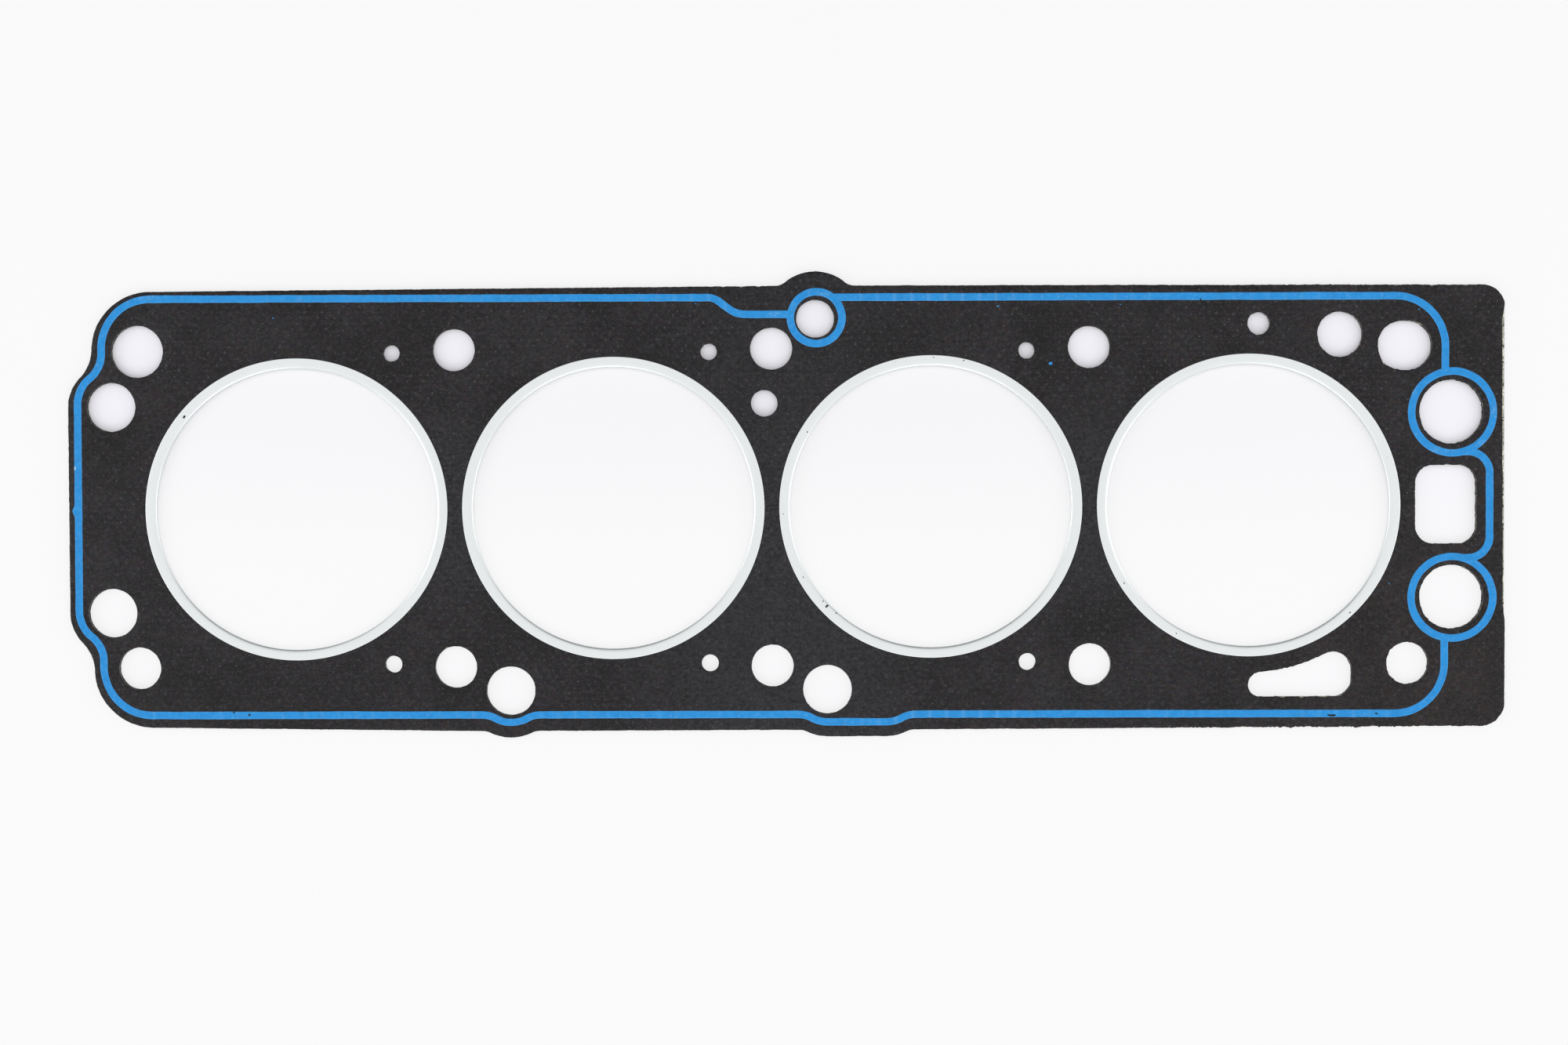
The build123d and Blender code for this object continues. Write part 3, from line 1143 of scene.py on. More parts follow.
def plan_group() -> bpy.types.NodeTree:
    """Group that gives the place in millimetres, and how upright the surface stands.

    Returns:
        The group.
    """
    group = NodeGroup("PlanPlace", {}, {"Place": VECTOR, "Wall": FLOAT})
    g = group.graph
    metres = g.add("ShaderNodeTexCoord").outputs["Object"]
    surface = g.add("ShaderNodeNewGeometry").outputs["True Normal"]
    upright = g.fade(g.size_of(g.split(surface)[2]), UPRIGHT)
    return group.out(Place=g.vector("MULTIPLY", metres, (1.0 / MM,) * 3), Wall=upright)


def tang_group() -> bpy.types.NodeTree:
    """Group of the marks that the core's tangs leave: interleaved rows of faint spots.

    Returns:
        The group.
    """
    inputs = {
        "Place": (VECTOR, None),
        "Pitch X": (FLOAT, TANG_PITCH),
        "Pitch Y": (FLOAT, TANG_ROW_PITCH),
        "Radius": (FLOAT, TANG_MARK_R),
    }
    group = NodeGroup("TangMarks", inputs, {"Mask": FLOAT})
    g = group.graph
    pitch_x, pitch_y = group.source["Pitch X"], group.source["Pitch Y"]
    x, y, _ = g.split(group.source["Place"])
    v = g.over(g.times(y, 2.0), pitch_y)
    u = g.minus(g.over(x, pitch_x), g.times(v, 0.5))
    cell_u = g.math("ROUND", u)
    cell_v = g.math("ROUND", v)
    white = g.add("ShaderNodeTexWhiteNoise", noise_dimensions="2D")
    g.put(g.join(cell_u, cell_v, 0.0), white.inputs["Vector"])
    shift_x, shift_y, _ = g.split(white.outputs["Color"])
    off_u = g.minus(u, cell_u)
    off_v = g.times(g.minus(v, cell_v), 0.5)
    dx = g.plus(g.times(g.plus(off_u, off_v), pitch_x), g.times(g.minus(shift_x, 0.5), TANG_JITTER))
    dy = g.plus(g.times(off_v, pitch_y), g.times(g.minus(shift_y, 0.5), TANG_JITTER))
    spot = g.fade(g.over(g.length(dx, dy), group.source["Radius"]), TANG_RIM)
    strong = g.fade(white.outputs["Value"], TANG_STRENGTH)
    odd = g.math("MODULO", g.size_of(cell_u), 2.0)
    return group.out(Mask=g.times(spot, g.times(strong, g.fade(odd, TANG_EVERY_OTHER))))


def fibre_group() -> bpy.types.NodeTree:
    """Group of the fibre sheet's own variation: noises by name, single fibres, rusty specks and hues.

    Returns:
        The group.
    """
    outputs = {name: FLOAT for name in (*FIBRE_TEXTURES, "Fibres", "Specks")}
    group = NodeGroup("FibreSheet", {"Place": (VECTOR, None)}, {**outputs, "Hues": VECTOR})
    g = group.graph
    place = group.source["Place"]
    noises = {name: g.noise(place, texture) for name, texture in FIBRE_TEXTURES.items()}
    bend = g.noise_node(place, FIBRE_BEND).outputs["Color"]
    bend = g.vector("MULTIPLY", bend, FIBRE_BEND_DEPTH)
    bent = g.vector("ADD", bend, g.vector("MULTIPLY", place, FIBRE_STRETCH))
    cells = g.add("ShaderNodeTexVoronoi", feature="DISTANCE_TO_EDGE")
    g.put(bent, cells.inputs["Vector"])
    cells.inputs["Scale"].default_value = FIBRE_CELLS
    sparse = g.fade(g.noise(place, FIBRE_SPARSE), FIBRE_SPARSE_FADE)
    fibres = g.times(g.fade(cells.outputs["Distance"], FIBRE_LINE), sparse)
    specks = g.fade(g.noise(place, SPECK_TEXTURE), SPECK_FADE)
    hues = g.noise_node(place, HUE_TEXTURE).outputs["Color"]
    hues = g.vector("MULTIPLY_ADD", hues, (HUE_SPREAD,) * 3, (1.0 - HUE_SPREAD / 2,) * 3)
    return group.out(**noises, Fibres=fibres, Specks=specks, Hues=hues)


def spot_group() -> bpy.types.NodeTree:
    """Group of one soft-edged spot with a torn outline, at a place in the plane.

    Returns:
        The group.
    """
    inputs = {
        "Place": (VECTOR, None),
        "Centre": (VECTOR, None),
        "Reach": (VECTOR, (1.0, 1.0, 1.0)),
        "Torn": (FLOAT, 0.5),
    }
    group = NodeGroup("TornSpot", inputs, {"Mask": FLOAT})
    g = group.graph
    place = group.source["Place"]
    share = g.vector("DIVIDE", g.vector("SUBTRACT", place, group.source["Centre"]), group.source["Reach"])
    x, y, _ = g.split(share)
    rough = g.minus(g.noise(place, TORN_TEXTURE), 0.5)
    away = g.plus(g.length(x, y), g.times(rough, group.source["Torn"]))
    return group.out(Mask=g.fade(away, TORN_RIM))


def turned_group() -> bpy.types.NodeTree:
    """Group of marks that run round each cylinder opening.

    Returns:
        The group.
    """
    outputs = {"Marks": FLOAT, "Patches": FLOAT, "Radius": FLOAT}
    group = NodeGroup("RoundMarks", {"Place": (VECTOR, None)}, outputs)
    g = group.graph
    place = group.source["Place"]
    x, y, z = g.split(place)
    last_cell = (CYLINDERS - 1) / 2
    cell = g.plus(g.math("FLOOR", g.over(x, BORE_PITCH)), 0.5)
    cell = g.math("MINIMUM", g.higher(cell, -last_cell), last_cell)
    own_x = g.minus(x, g.times(cell, BORE_PITCH))
    radius = g.length(own_x, y)
    across, along = ROUND_SQUEEZE
    wrapped = g.join(g.times(radius, across), g.times(g.math("ARCTAN2", y, own_x), along), g.plus(z, cell))
    patches = g.noise(place, ROUND_PATCHES)
    return group.out(Marks=g.noise(wrapped, ROUND_MARKS), Patches=patches, Radius=radius)


# Finishes


class Groups:
    """The shared node groups, made once."""

    def __init__(self) -> None:
        """Makes each group."""
        self.plan = plan_group()
        self.tangs = tang_group()
        self.fibre = fibre_group()
        self.spot = spot_group()
        self.turned = turned_group()


class Finish:
    """A material while its nodes are joined."""

    def __init__(self, name: str, groups: Groups) -> None:
        """Makes an empty material with a shader, and the place in millimetres.

        Args:
            name: Name of the material.
            groups: The shared node groups.
        """
        self.material = bpy.data.materials.new(name)
        self.material.use_nodes = True
        self.graph = Graph(self.material.node_tree)
        self.shader = self.material.node_tree.nodes["Principled BSDF"]
        self.groups = groups
        plan = self.use(groups.plan)
        self.place = plan.outputs["Place"]
        self.wall = plan.outputs["Wall"]

    def use(self, tree: bpy.types.NodeTree, **inputs: object) -> bpy.types.Node:
        """Adds a shared group, with the place joined where it takes one.

        Args:
            tree: The group.
            inputs: Values of its inputs by name.

        Returns:
            The node.
        """
        node = self.graph.add("ShaderNodeGroup", node_tree=tree)
        if "Place" in node.inputs:
            self.graph.put(self.place, node.inputs["Place"])
        for label, value in inputs.items():
            self.graph.put(value, node.inputs[label])
        return node

    def set(self, label: str, value: object) -> None:
        """Sets or joins a socket of the shader."""
        self.graph.put(value, self.shader.inputs[label])


@dataclass(frozen=True)
class Shade:
    """A tone laid over a colour where one of the fibre sheet's noises calls for it."""

    noise: str
    fade: Fade
    tone: Colour


@dataclass(frozen=True)
class FibreFinish:
    """Graphite-filled fibre facing: near black and felted, with faint tang marks."""

    name: str = "fibre_facing_black"
    dark: Colour = (0.0072, 0.0065, 0.0071, 1.0)
    base: Colour = (0.0135, 0.0119, 0.0138, 1.0)
    brown: Colour = (0.0210, 0.0152, 0.0125, 1.0)
    cool: Colour = (0.0120, 0.0145, 0.0190, 1.0)
    slate: Colour = (0.0202, 0.0204, 0.0234, 1.0)
    rust: Colour = (0.0700, 0.0420, 0.0260, 1.0)
    pale: Colour = (0.064, 0.059, 0.064, 1.0)
    cut: Colour = (0.062, 0.060, 0.056, 1.0)
    warm_tint: Fade = Fade(0.52, 0.72, 0.0, 0.7)
    cool_tint: Fade = Fade(0.48, 0.28, 0.0, 0.6)
    brown_x: Fade = Fade(120.0, 195.0)
    brown_y: Fade = Fade(25.0, -40.0)
    browned: float = 0.45
    dark_patches: Fade = Fade(0.56, 0.36, 0.0, 0.85)
    pale_patches: Fade = Fade(0.48, 0.68, 0.0, 0.10)
    grey_centre_x: float = 3.0
    grey_x: Fade = Fade(48.0, 12.0)
    grey_y: Fade = Fade(45.0, -15.0, 0.40, 0.90)
    web_x: Fade = Fade(150.0, 130.0)
    web_y: Fade = Fade(34.0, 14.0, 0.0, 0.75)
    dark_mottle: Fade = Fade(0.50, 0.32, 0.0, 0.90)
    pale_mottle: Fade = Fade(0.50, 0.70, 0.0, 0.34)
    pale_grain: Fade = Fade(0.48, 0.72, 0.0, 0.42)
    pale_streaks: Fade = Fade(0.45, 0.80, 0.0, 0.10)
    tang_y: Fade = Fade(-60.0, 40.0, 0.75, 1.0)
    tang_texture: Texture = Texture(0.05)
    tang_shown: Fade = Fade(0.34, 0.56, 0.35, 1.0)
    tang_shade: float = 0.90
    fibre_shade: float = 0.12
    rust_x: Fade = Fade(60.0, 180.0, 0.15, 0.6)
    cut_texture: Texture = Texture(1.5, 3.0, 0.7, (1.2, 1.2, 6.0))
    cut_torn: Fade = Fade(0.35, 0.7, 0.0, 0.75)
    rough: Fade = Fade(0.2, 0.8, 0.50, 0.66)
    specular: float = 0.2
    mottle_relief: float = 0.05
    grain_relief: float = 0.012
    tang_relief: float = 0.03

    def shaded(self, f: Finish, fibre: object, colour: Socket, shades: Sequence[Shade]) -> Socket:
        """Lays tones over a colour, in order.

        Args:
            f: The material under construction.
            fibre: Outputs of the fibre sheet's group.
            colour: The colour below.
            shades: The tones.

        Returns:
            The colour with its tones.
        """
        for shade in shades:
            colour = f.graph.mix(f.graph.fade(fibre[shade.noise], shade.fade), colour, shade.tone)
        return colour

    def ground(self, f: Finish, fibre: object) -> Socket:
        """Returns the sheet's colour in the large: tints, the browner wide end and the greyer middle.

        Args:
            f: The material under construction.
            fibre: Outputs of the fibre sheet's group.

        Returns:
            The colour.
        """
        g = f.graph
        x, y, _ = g.split(f.place)
        tints = (Shade("Tint", self.cool_tint, self.cool), Shade("Tint", self.warm_tint, self.brown))
        colour = self.shaded(f, fibre, self.base, tints)
        wide = g.times(g.fade(x, self.brown_x), g.fade(y, self.brown_y))
        colour = g.mix(g.times(wide, self.browned), colour, self.brown)
        colour = g.mix(1.0, colour, fibre["Hues"], "MULTIPLY")
        dark = Shade("Patches", self.dark_patches, self.dark)
        pale = Shade("Patches", self.pale_patches, self.pale)
        colour = self.shaded(f, fibre, colour, (dark, pale))
        middle = g.fade(g.size_of(g.minus(x, self.grey_centre_x)), self.grey_x)
        middle = g.times(middle, g.fade(y, self.grey_y))
        webs = g.times(g.fade(g.size_of(y), self.web_y), g.fade(g.size_of(x), self.web_x))
        return g.mix(g.higher(middle, webs), colour, self.slate)

    def face(self, f: Finish, fibre: object, tangs: Socket) -> Socket:
        """Returns the colour of the sheet's faces, with its texture, tang marks, fibres and rusty specks.

        Args:
            f: The material under construction.
            fibre: Outputs of the fibre sheet's group.
            tangs: Mask of the tang marks.

        Returns:
            The colour.
        """
        g = f.graph
        x, y, _ = g.split(f.place)
        texture = (
            Shade("Mottle", self.dark_mottle, self.dark),
            Shade("Mottle", self.pale_mottle, self.pale),
            Shade("Grain", self.pale_grain, self.pale),
            Shade("Streaks", self.pale_streaks, self.pale),
        )
        colour = self.shaded(f, fibre, self.ground(f, fibre), texture)
        shown = g.fade(g.noise(f.place, self.tang_texture), self.tang_shown)
        spots = g.times(tangs, g.times(g.fade(y, self.tang_y), shown))
        colour = g.mix(g.times(spots, self.tang_shade), colour, self.pale)
        colour = g.mix(g.times(fibre["Fibres"], self.fibre_shade), colour, self.pale)
        return g.mix(g.times(fibre["Specks"], g.fade(x, self.rust_x)), colour, self.rust)

    def make(self, groups: Groups) -> bpy.types.Material:
        """Builds the material.

        Args:
            groups: The shared node groups.

        Returns:
            The material.
        """
        f = Finish(self.name, groups)
        g = f.graph
        fibre = f.use(groups.fibre).outputs
        tangs = f.use(groups.tangs).outputs["Mask"]
        torn = g.noise(f.place, self.cut_texture)
        cut = g.mix(g.fade(torn, self.cut_torn), self.cut, self.base)
        f.set("Base Color", g.mix(f.wall, self.face(f, fibre, tangs), cut))
        f.set("Roughness", g.fade(fibre["Grain"], self.rough))
        f.set("Specular IOR Level", self.specular)
        relief = g.bump(fibre["Mottle"], self.mottle_relief)
        relief = g.bump(fibre["Grain"], self.grain_relief, relief)
        f.set("Normal", g.bump(tangs, self.tang_relief, relief))
        return f.material


@dataclass(frozen=True)
class SteelFinish:
    """Sheet steel with fine marks round each opening."""

    name: str = "ring_steel_bright"
    base: Colour = (0.790, 0.818, 0.822, 1.0)
    dull: Colour = (0.70, 0.73, 0.73, 1.0)
    dulled: Fade = Fade(0.4, 0.8, 0.0, 0.6)
    rough: Fade = Fade(0.3, 0.7, 0.30, 0.38)
    relief: float = 0.004

    def make(self, groups: Groups) -> bpy.types.Material:
        """Builds the material.

        Args:
            groups: The shared node groups.

        Returns:
            The material.
        """
        f = Finish(self.name, groups)
        g = f.graph
        turned = f.use(groups.turned).outputs
        f.set("Metallic", 1.0)
        f.set("Base Color", g.mix(g.fade(turned["Marks"], self.dulled), self.base, self.dull))
        f.set("Roughness", g.fade(turned["Patches"], self.rough))
        f.set("Normal", g.bump(turned["Marks"], self.relief))
        return f.material


@dataclass(frozen=True)
class CoreFinish:
    """The core's bare steel, with fibre and binder left on it."""

    name: str = "core_steel_sheet"
    steel: Colour = (0.56, 0.56, 0.47, 1.0)
    worn: Colour = (0.36, 0.36, 0.29, 1.0)
    residue: Colour = (0.050, 0.048, 0.040, 1.0)
    left_texture: Texture = Texture(1.1, 4.0, 0.75, (1.0, 1.0, 4.0))
    bare_from: Pair = (0.40, 0.52)
    bare_to: Pair = (0.48, 0.62)
    wear_texture: Texture = Texture(2.4, 3.0, 0.7)
    wear: Fade = Fade(0.40, 0.66)
    rough: Fade = Fade(0.0, 1.0, 0.7, 0.42)
    relief: float = 0.02

    def make(self, groups: Groups) -> bpy.types.Material:
        """Builds the material. Less of the steel is bare on its cut edges than on its faces.

        Args:
            groups: The shared node groups.

        Returns:
            The material.
        """
        f = Finish(self.name, groups)
        g = f.graph
        left = g.noise(f.place, self.left_texture)
        limits = [g.ramp(f.wall, 0.0, 1.0, *pair) for pair in (self.bare_from, self.bare_to)]
        bare = g.ramp(left, *limits)
        steel = g.mix(g.fade(g.noise(f.place, self.wear_texture), self.wear), self.worn, self.steel)
        f.set("Base Color", g.mix(bare, self.residue, steel))
        f.set("Metallic", bare)
        f.set("Roughness", g.fade(bare, self.rough))
        f.set("Normal", g.bump(left, self.relief))
        return f.material


@dataclass(frozen=True)
class Spot:
    """Centre and half sizes of a torn spot in the plane."""

    x: float
    y: float
    reach_x: float
    reach_y: float
    torn: float = 0.5


@dataclass(frozen=True)
class BeadFinish:
    """Printed silicone: blue, slightly glossy, thicker where its rims stand, with a painted highlight where
    its sides slope.
    """

    name: str = "silicone_bead_blue"
    base: Colour = (0.012, 0.276, 0.700, 1.0)
    deep: Colour = (0.008, 0.240, 0.620, 1.0)
    # Paler blue: a random tone in the clouds, and also the painted highlight on the sloping sides
    rim: Colour = (0.060, 0.320, 0.715, 1.0)
    scuffed: Colour = (0.200, 0.470, 0.800, 1.0)
    through: Colour = (0.0080, 0.0085, 0.0110, 1.0)
    dab: Colour = (0.560, 0.780, 0.900, 1.0)
    mottle: Texture = Texture(0.5, 3.0, 0.6)
    deep_mottle: Fade = Fade(0.35, 0.7)
    clouds: Texture = Texture(0.8)
    pale_clouds: Fade = Fade(0.50, 0.75, 0.0, 0.5)
    tang_shade: float = 0.2
    # Painted highlight: how far the paler blue takes over as the sides slope
    shoulder_highlight_tilt: Fade = Fade(0.93, 0.998, 0.8, 0.0)
    tick_x: float = 36.1
    tick_place: Texture = Texture(0.045, 1.0)
    tick_shown: Fade = Fade(0.44, 0.58, 0.0, 0.5)
    clear_x: float = 52.0
    clear_reach: Fade = Fade(30.0, 14.0)
    level_runs: Fade = Fade(48.0, 54.0)
    band: Fade = Fade(0.20, 0.0, 0.0, 0.20)
    tick: Fade = Fade(0.09, 0.02)
    tick_tilt: Fade = Fade(0.96, 0.999, 0.50, 0.0)
    crumbs: Texture = Texture(2.2, 2.0, 0.6)
    crumb_fade: Fade = Fade(0.64, 0.72)
    rubbed_place: Texture = Texture(0.07, 1.0)
    rubbed_fade: Fade = Fade(0.50, 0.62, 0.15, 0.6)
    scuff_fade: Fade = Fade(0.44, 0.66, 0.0, 0.5)
    dab_shade: float = 0.85
    fine: Texture = Texture(5.0, 3.0, 0.6)
    rough: Fade = Fade(0.3, 0.7, 0.36, 0.5)
    through_rough: float = 0.25
    specular: float = 0.3
    relief: float = 0.004
    dabs: tuple[Spot, ...] = ()
    voids: tuple[Spot, ...] = ()
    scuffs: tuple[Spot, ...] = ()

    def marks(self, f: Finish, spots: Sequence[Spot]) -> object:
        """Joins the masks of some spots into one.

        Args:
            f: The material under construction.
            spots: The spots.

        Returns:
            Where any of the spots lies, or 0 where there are none.
        """
        total: object = 0.0
        for spot in spots:
            centre = (spot.x, spot.y, 0.0)
            reach = (spot.reach_x, spot.reach_y, 1.0)
            node = f.use(f.groups.spot, Torn=spot.torn, Centre=centre, Reach=reach)
            total = f.graph.higher(total, node.outputs["Mask"])
        return total

    def ticks(self, f: Finish, tilt: Socket) -> Socket:
        """Returns the paler bands and rim ticks where the level runs of the print cross rows of tangs.

        Args:
            f: The material under construction.
            tilt: 1 where the surface is level.

        Returns:
            The mask.
        """
        g = f.graph
        x, y, _ = g.split(f.place)
        row = g.over(g.minus(x, self.tick_x), 2 * TANG_PITCH)
        beside = g.size_of(g.minus(row, g.math("ROUND", row)))
        printed = g.fade(g.noise(f.place, self.tick_place), self.tick_shown)
        printed = g.higher(printed, g.fade(g.size_of(g.minus(x, self.clear_x)), self.clear_reach))
        printed = g.times(printed, g.fade(g.size_of(y), self.level_runs))
        tick = g.times(g.fade(beside, self.tick), g.fade(tilt, self.tick_tilt))
        return g.higher(g.times(g.fade(beside, self.band), printed), g.times(tick, printed))

    def rubbed(self, f: Finish) -> Socket:
        """Returns where the print is scuffed pale.

        Args:
            f: The material under construction.

        Returns:
            The mask.
        """
        g = f.graph
        crumbs = g.noise(f.place, self.crumbs)
        place = g.fade(g.noise(f.place, self.rubbed_place), self.rubbed_fade)
        rubbed = g.times(g.fade(crumbs, self.crumb_fade), place)
        if self.scuffs:
            rubbed = g.higher(rubbed, g.times(self.marks(f, self.scuffs), g.fade(crumbs, self.scuff_fade)))
        return rubbed

    def make(self, groups: Groups) -> bpy.types.Material:
        """Builds the material.

        Args:
            groups: The shared node groups.

        Returns:
            The material.
        """
        f = Finish(self.name, groups)
        g = f.graph
        tilt = g.size_of(g.split(g.add("ShaderNodeNewGeometry").outputs["Normal"])[2])
        fine = g.noise(f.place, self.fine)
        colour = g.mix(g.fade(g.noise(f.place, self.mottle), self.deep_mottle), self.base, self.deep)
        colour = g.mix(g.fade(g.noise(f.place, self.clouds), self.pale_clouds), colour, self.rim)
        tangs = f.use(groups.tangs).outputs["Mask"]
        colour = g.mix(g.times(tangs, self.tang_shade), colour, self.scuffed)
        # Painted highlight: the sloping sides of the bead are coloured paler, as if they caught the side
        # lamps
        colour = g.mix(g.fade(tilt, self.shoulder_highlight_tilt), colour, self.rim)
        colour = g.mix(self.ticks(f, tilt), colour, self.scuffed)
        colour = g.mix(self.rubbed(f), colour, self.scuffed)
        if self.dabs:
            colour = g.mix(g.times(self.marks(f, self.dabs), self.dab_shade), colour, self.dab)
        rough = g.fade(fine, self.rough)
        if self.voids:
            gone = self.marks(f, self.voids)
            colour = g.mix(gone, colour, self.through)
            rough = g.plus(rough, g.times(gone, self.through_rough))
        f.set("Base Color", colour)
        f.set("Roughness", rough)
        f.set("Specular IOR Level", self.specular)
        f.set("Normal", g.bump(fine, self.relief))
        return f.material


# Sub-assemblies


@dataclass(frozen=True)
class Step:
    """One level of a cut edge: its height, and how far it stands back into the material."""

    z: float
    inset: float


@dataclass(frozen=True)
class SheetPlan:
    """A blanked sheet: its edge levels from the upper face down, and how ragged it is."""

    name: str
    node: str
    slot: Slot
    edge: tuple[Step, ...]
    bore_edge: tuple[Step, ...]
    seed: int
    fray: Fray = Fray()
    sag: float = 0.008
    pitch: float = 3.0
    clear: float = 1.1
    torn: Wave = Wave(0.03, 0.7)
    mirrored: bool = False
    nicks: tuple[Nick, ...] = ()
    smooth_deg: float = 40.0


@dataclass(frozen=True)
class BareEdge:
    """Where the head facing stands back from the wide end, so that the core shows as a pale strip."""

    start_y: float = -34.0
    end_y: float = 59.0
    start_depth: float = 0.50
    end_depth: float = 0.85
    fade: float = 5.0
    band: float = 0.5
    ragged: tuple[Wave, ...] = (Wave(0.05, 1.3), Wave(0.10, 7.0))
    seed: int = 77

    def depths(self, line: np.ndarray) -> np.ndarray:
        """Returns how far each point of the outer line moves back.

        Args:
            line: The outer line.

        Returns:
            One depth for each point.
        """
        x, y = line[:, 0], line[:, 1]
        rise = rising(y, self.start_y, self.fade) * rising(-y, -self.end_y, self.fade)
        on_end = x > END_X + WIDE_EDGE_OFFSET_X - self.band
        depth = np.interp(y, (self.start_y, self.end_y), (self.start_depth, self.end_depth))
        return np.where(on_end, depth * rise * Wander(self.seed).layered(line, 1.0, self.ragged), 0.0)


class Sheet:
    """One of the three sheets of the stack."""

    def __init__(self, plan: SheetPlan, bare_edge: BareEdge | None = None) -> None:
        """Keeps the sizes of the sheet, and where its outer edge stands back."""
        self.plan = plan
        self.bare_edge = bare_edge

    def lines(self) -> tuple[list[np.ndarray], list[np.ndarray]]:
        """Returns the outer line, the bores and the other openings as they are cut, and their normals.

        Returns:
            The lines, and one array of normals for each.
        """
        plan = self.plan
        clean = [outline()]
        clean += [circle(x, 0.0, SHEET_BORE_R)[::-1] for x in BORE_XS]
        clean += [coolant_window()[::-1], wedge_window()[::-1], dowel_slot()[::-1]]
        clean += [circle(x, y, d / 2)[::-1] for x, y, d in round_holes()]
        across = [normals(line) for line in clean]
        lines = [plan.fray.apply(line, plan.seed + i, plan.nicks) for i, line in enumerate(clean)]
        if self.bare_edge:
            lines[0] = lines[0] + across[0] * self.bare_edge.depths(clean[0])[:, None]
        return lines, across

    def levels(self) -> list[list[np.ndarray]]:
        """Returns each line at each level of its edge, as points in space.

        Returns:
            For each line, its points at each level from the upper face down.
        """
        plan = self.plan
        rows = []
        for i, (line, across) in enumerate(zip(*self.lines())):
            steps = plan.bore_edge if 1 <= i <= CYLINDERS else plan.edge
            wander = Wander(plan.seed + EDGE_SEED + i)
            own = []
            for k, step in enumerate(steps):
                torn = 0.0 if k in (0, len(steps) - 1) else plan.torn.depth
                inset = step.inset + torn * wander.closed(line, plan.torn.length)
                own.append(at_level(line + across * inset[:, None], step.z))
            rows.append(own)
        return rows

    def add_walls(self, mesh: MeshPlan, rows: list[list[np.ndarray]], first_top: int, first_end: int) -> None:
        """Adds the cut edges between the two faces.

        Args:
            mesh: The mesh that they are added to.
            rows: Each line at each level.
            first_top: Index of the first point of the upper face.
            first_end: Index of the first point of the lower face.
        """
        base = 0
        for own in rows:
            count = len(own[0])
            above = first_top + base
            for level in own[1:-1]:
                below = mesh.add_points(level)
                mesh.join_rows(above, below, count)
                above = below
            mesh.join_rows(above, first_end + base, count)
            base += count

    def build(self) -> bpy.types.Object:
        """Makes the sheet.

        Returns:
            The new piece.
        """
        plan = self.plan
        rows = self.levels()
        tops = [own[0][:, :2] for own in rows]
        ends = [own[-1][:, :2] for own in rows]
        extra = lattice(tops, plan.pitch, plan.clear, plan.seed)
        inner = at_level(extra, plan.edge[0].z)
        inner[:, 2] -= plan.sag * (0.5 + 0.5 * soft_waves(extra, plan.seed))
        mesh = MeshPlan()
        first_top = mesh.add_points(np.concatenate([own[0] for own in rows] + [inner]))
        mesh.add_faces(fill(tops, extra) + first_top)
        first_end = mesh.add_points(np.concatenate([own[-1] for own in rows]))
        mesh.add_faces(fill(ends, NO_POINTS)[:, ::-1] + first_end)
        self.add_walls(mesh, rows, first_top, first_end)
        if plan.mirrored:
            for block in mesh.blocks:
                block[:, 2] = STACK_T - block[:, 2]
        piece = mesh.build(plan.name, flip=plan.mirrored)
        shade_smooth(piece, plan.smooth_deg)
        return piece

    def dress(self, material: bpy.types.Material) -> None:
        """Makes the sheet and dresses it."""
        hand_over(self.build(), material, (self.plan.node,))


def soft_waves(points: np.ndarray, seed: int) -> np.ndarray:
    """Returns a slow seeded undulation over the plane, between -1 and 1.

    Args:
        points: Places in the plane, one row each.
        seed: Start of the draws.

    Returns:
        One value for each point.
    """
    random = np.random.default_rng(seed)
    total = np.zeros(len(points))
    for _ in range(SOFT_WAVES):
        angle = random.uniform(0.0, math.pi)
        wave = random.uniform(*SOFT_WAVE_RANGE)
        phase = random.uniform(0.0, 2 * math.pi)
        total += np.sin(wave * (points[:, 0] * math.cos(angle) + points[:, 1] * math.sin(angle)) + phase)
    return total / SOFT_WAVES


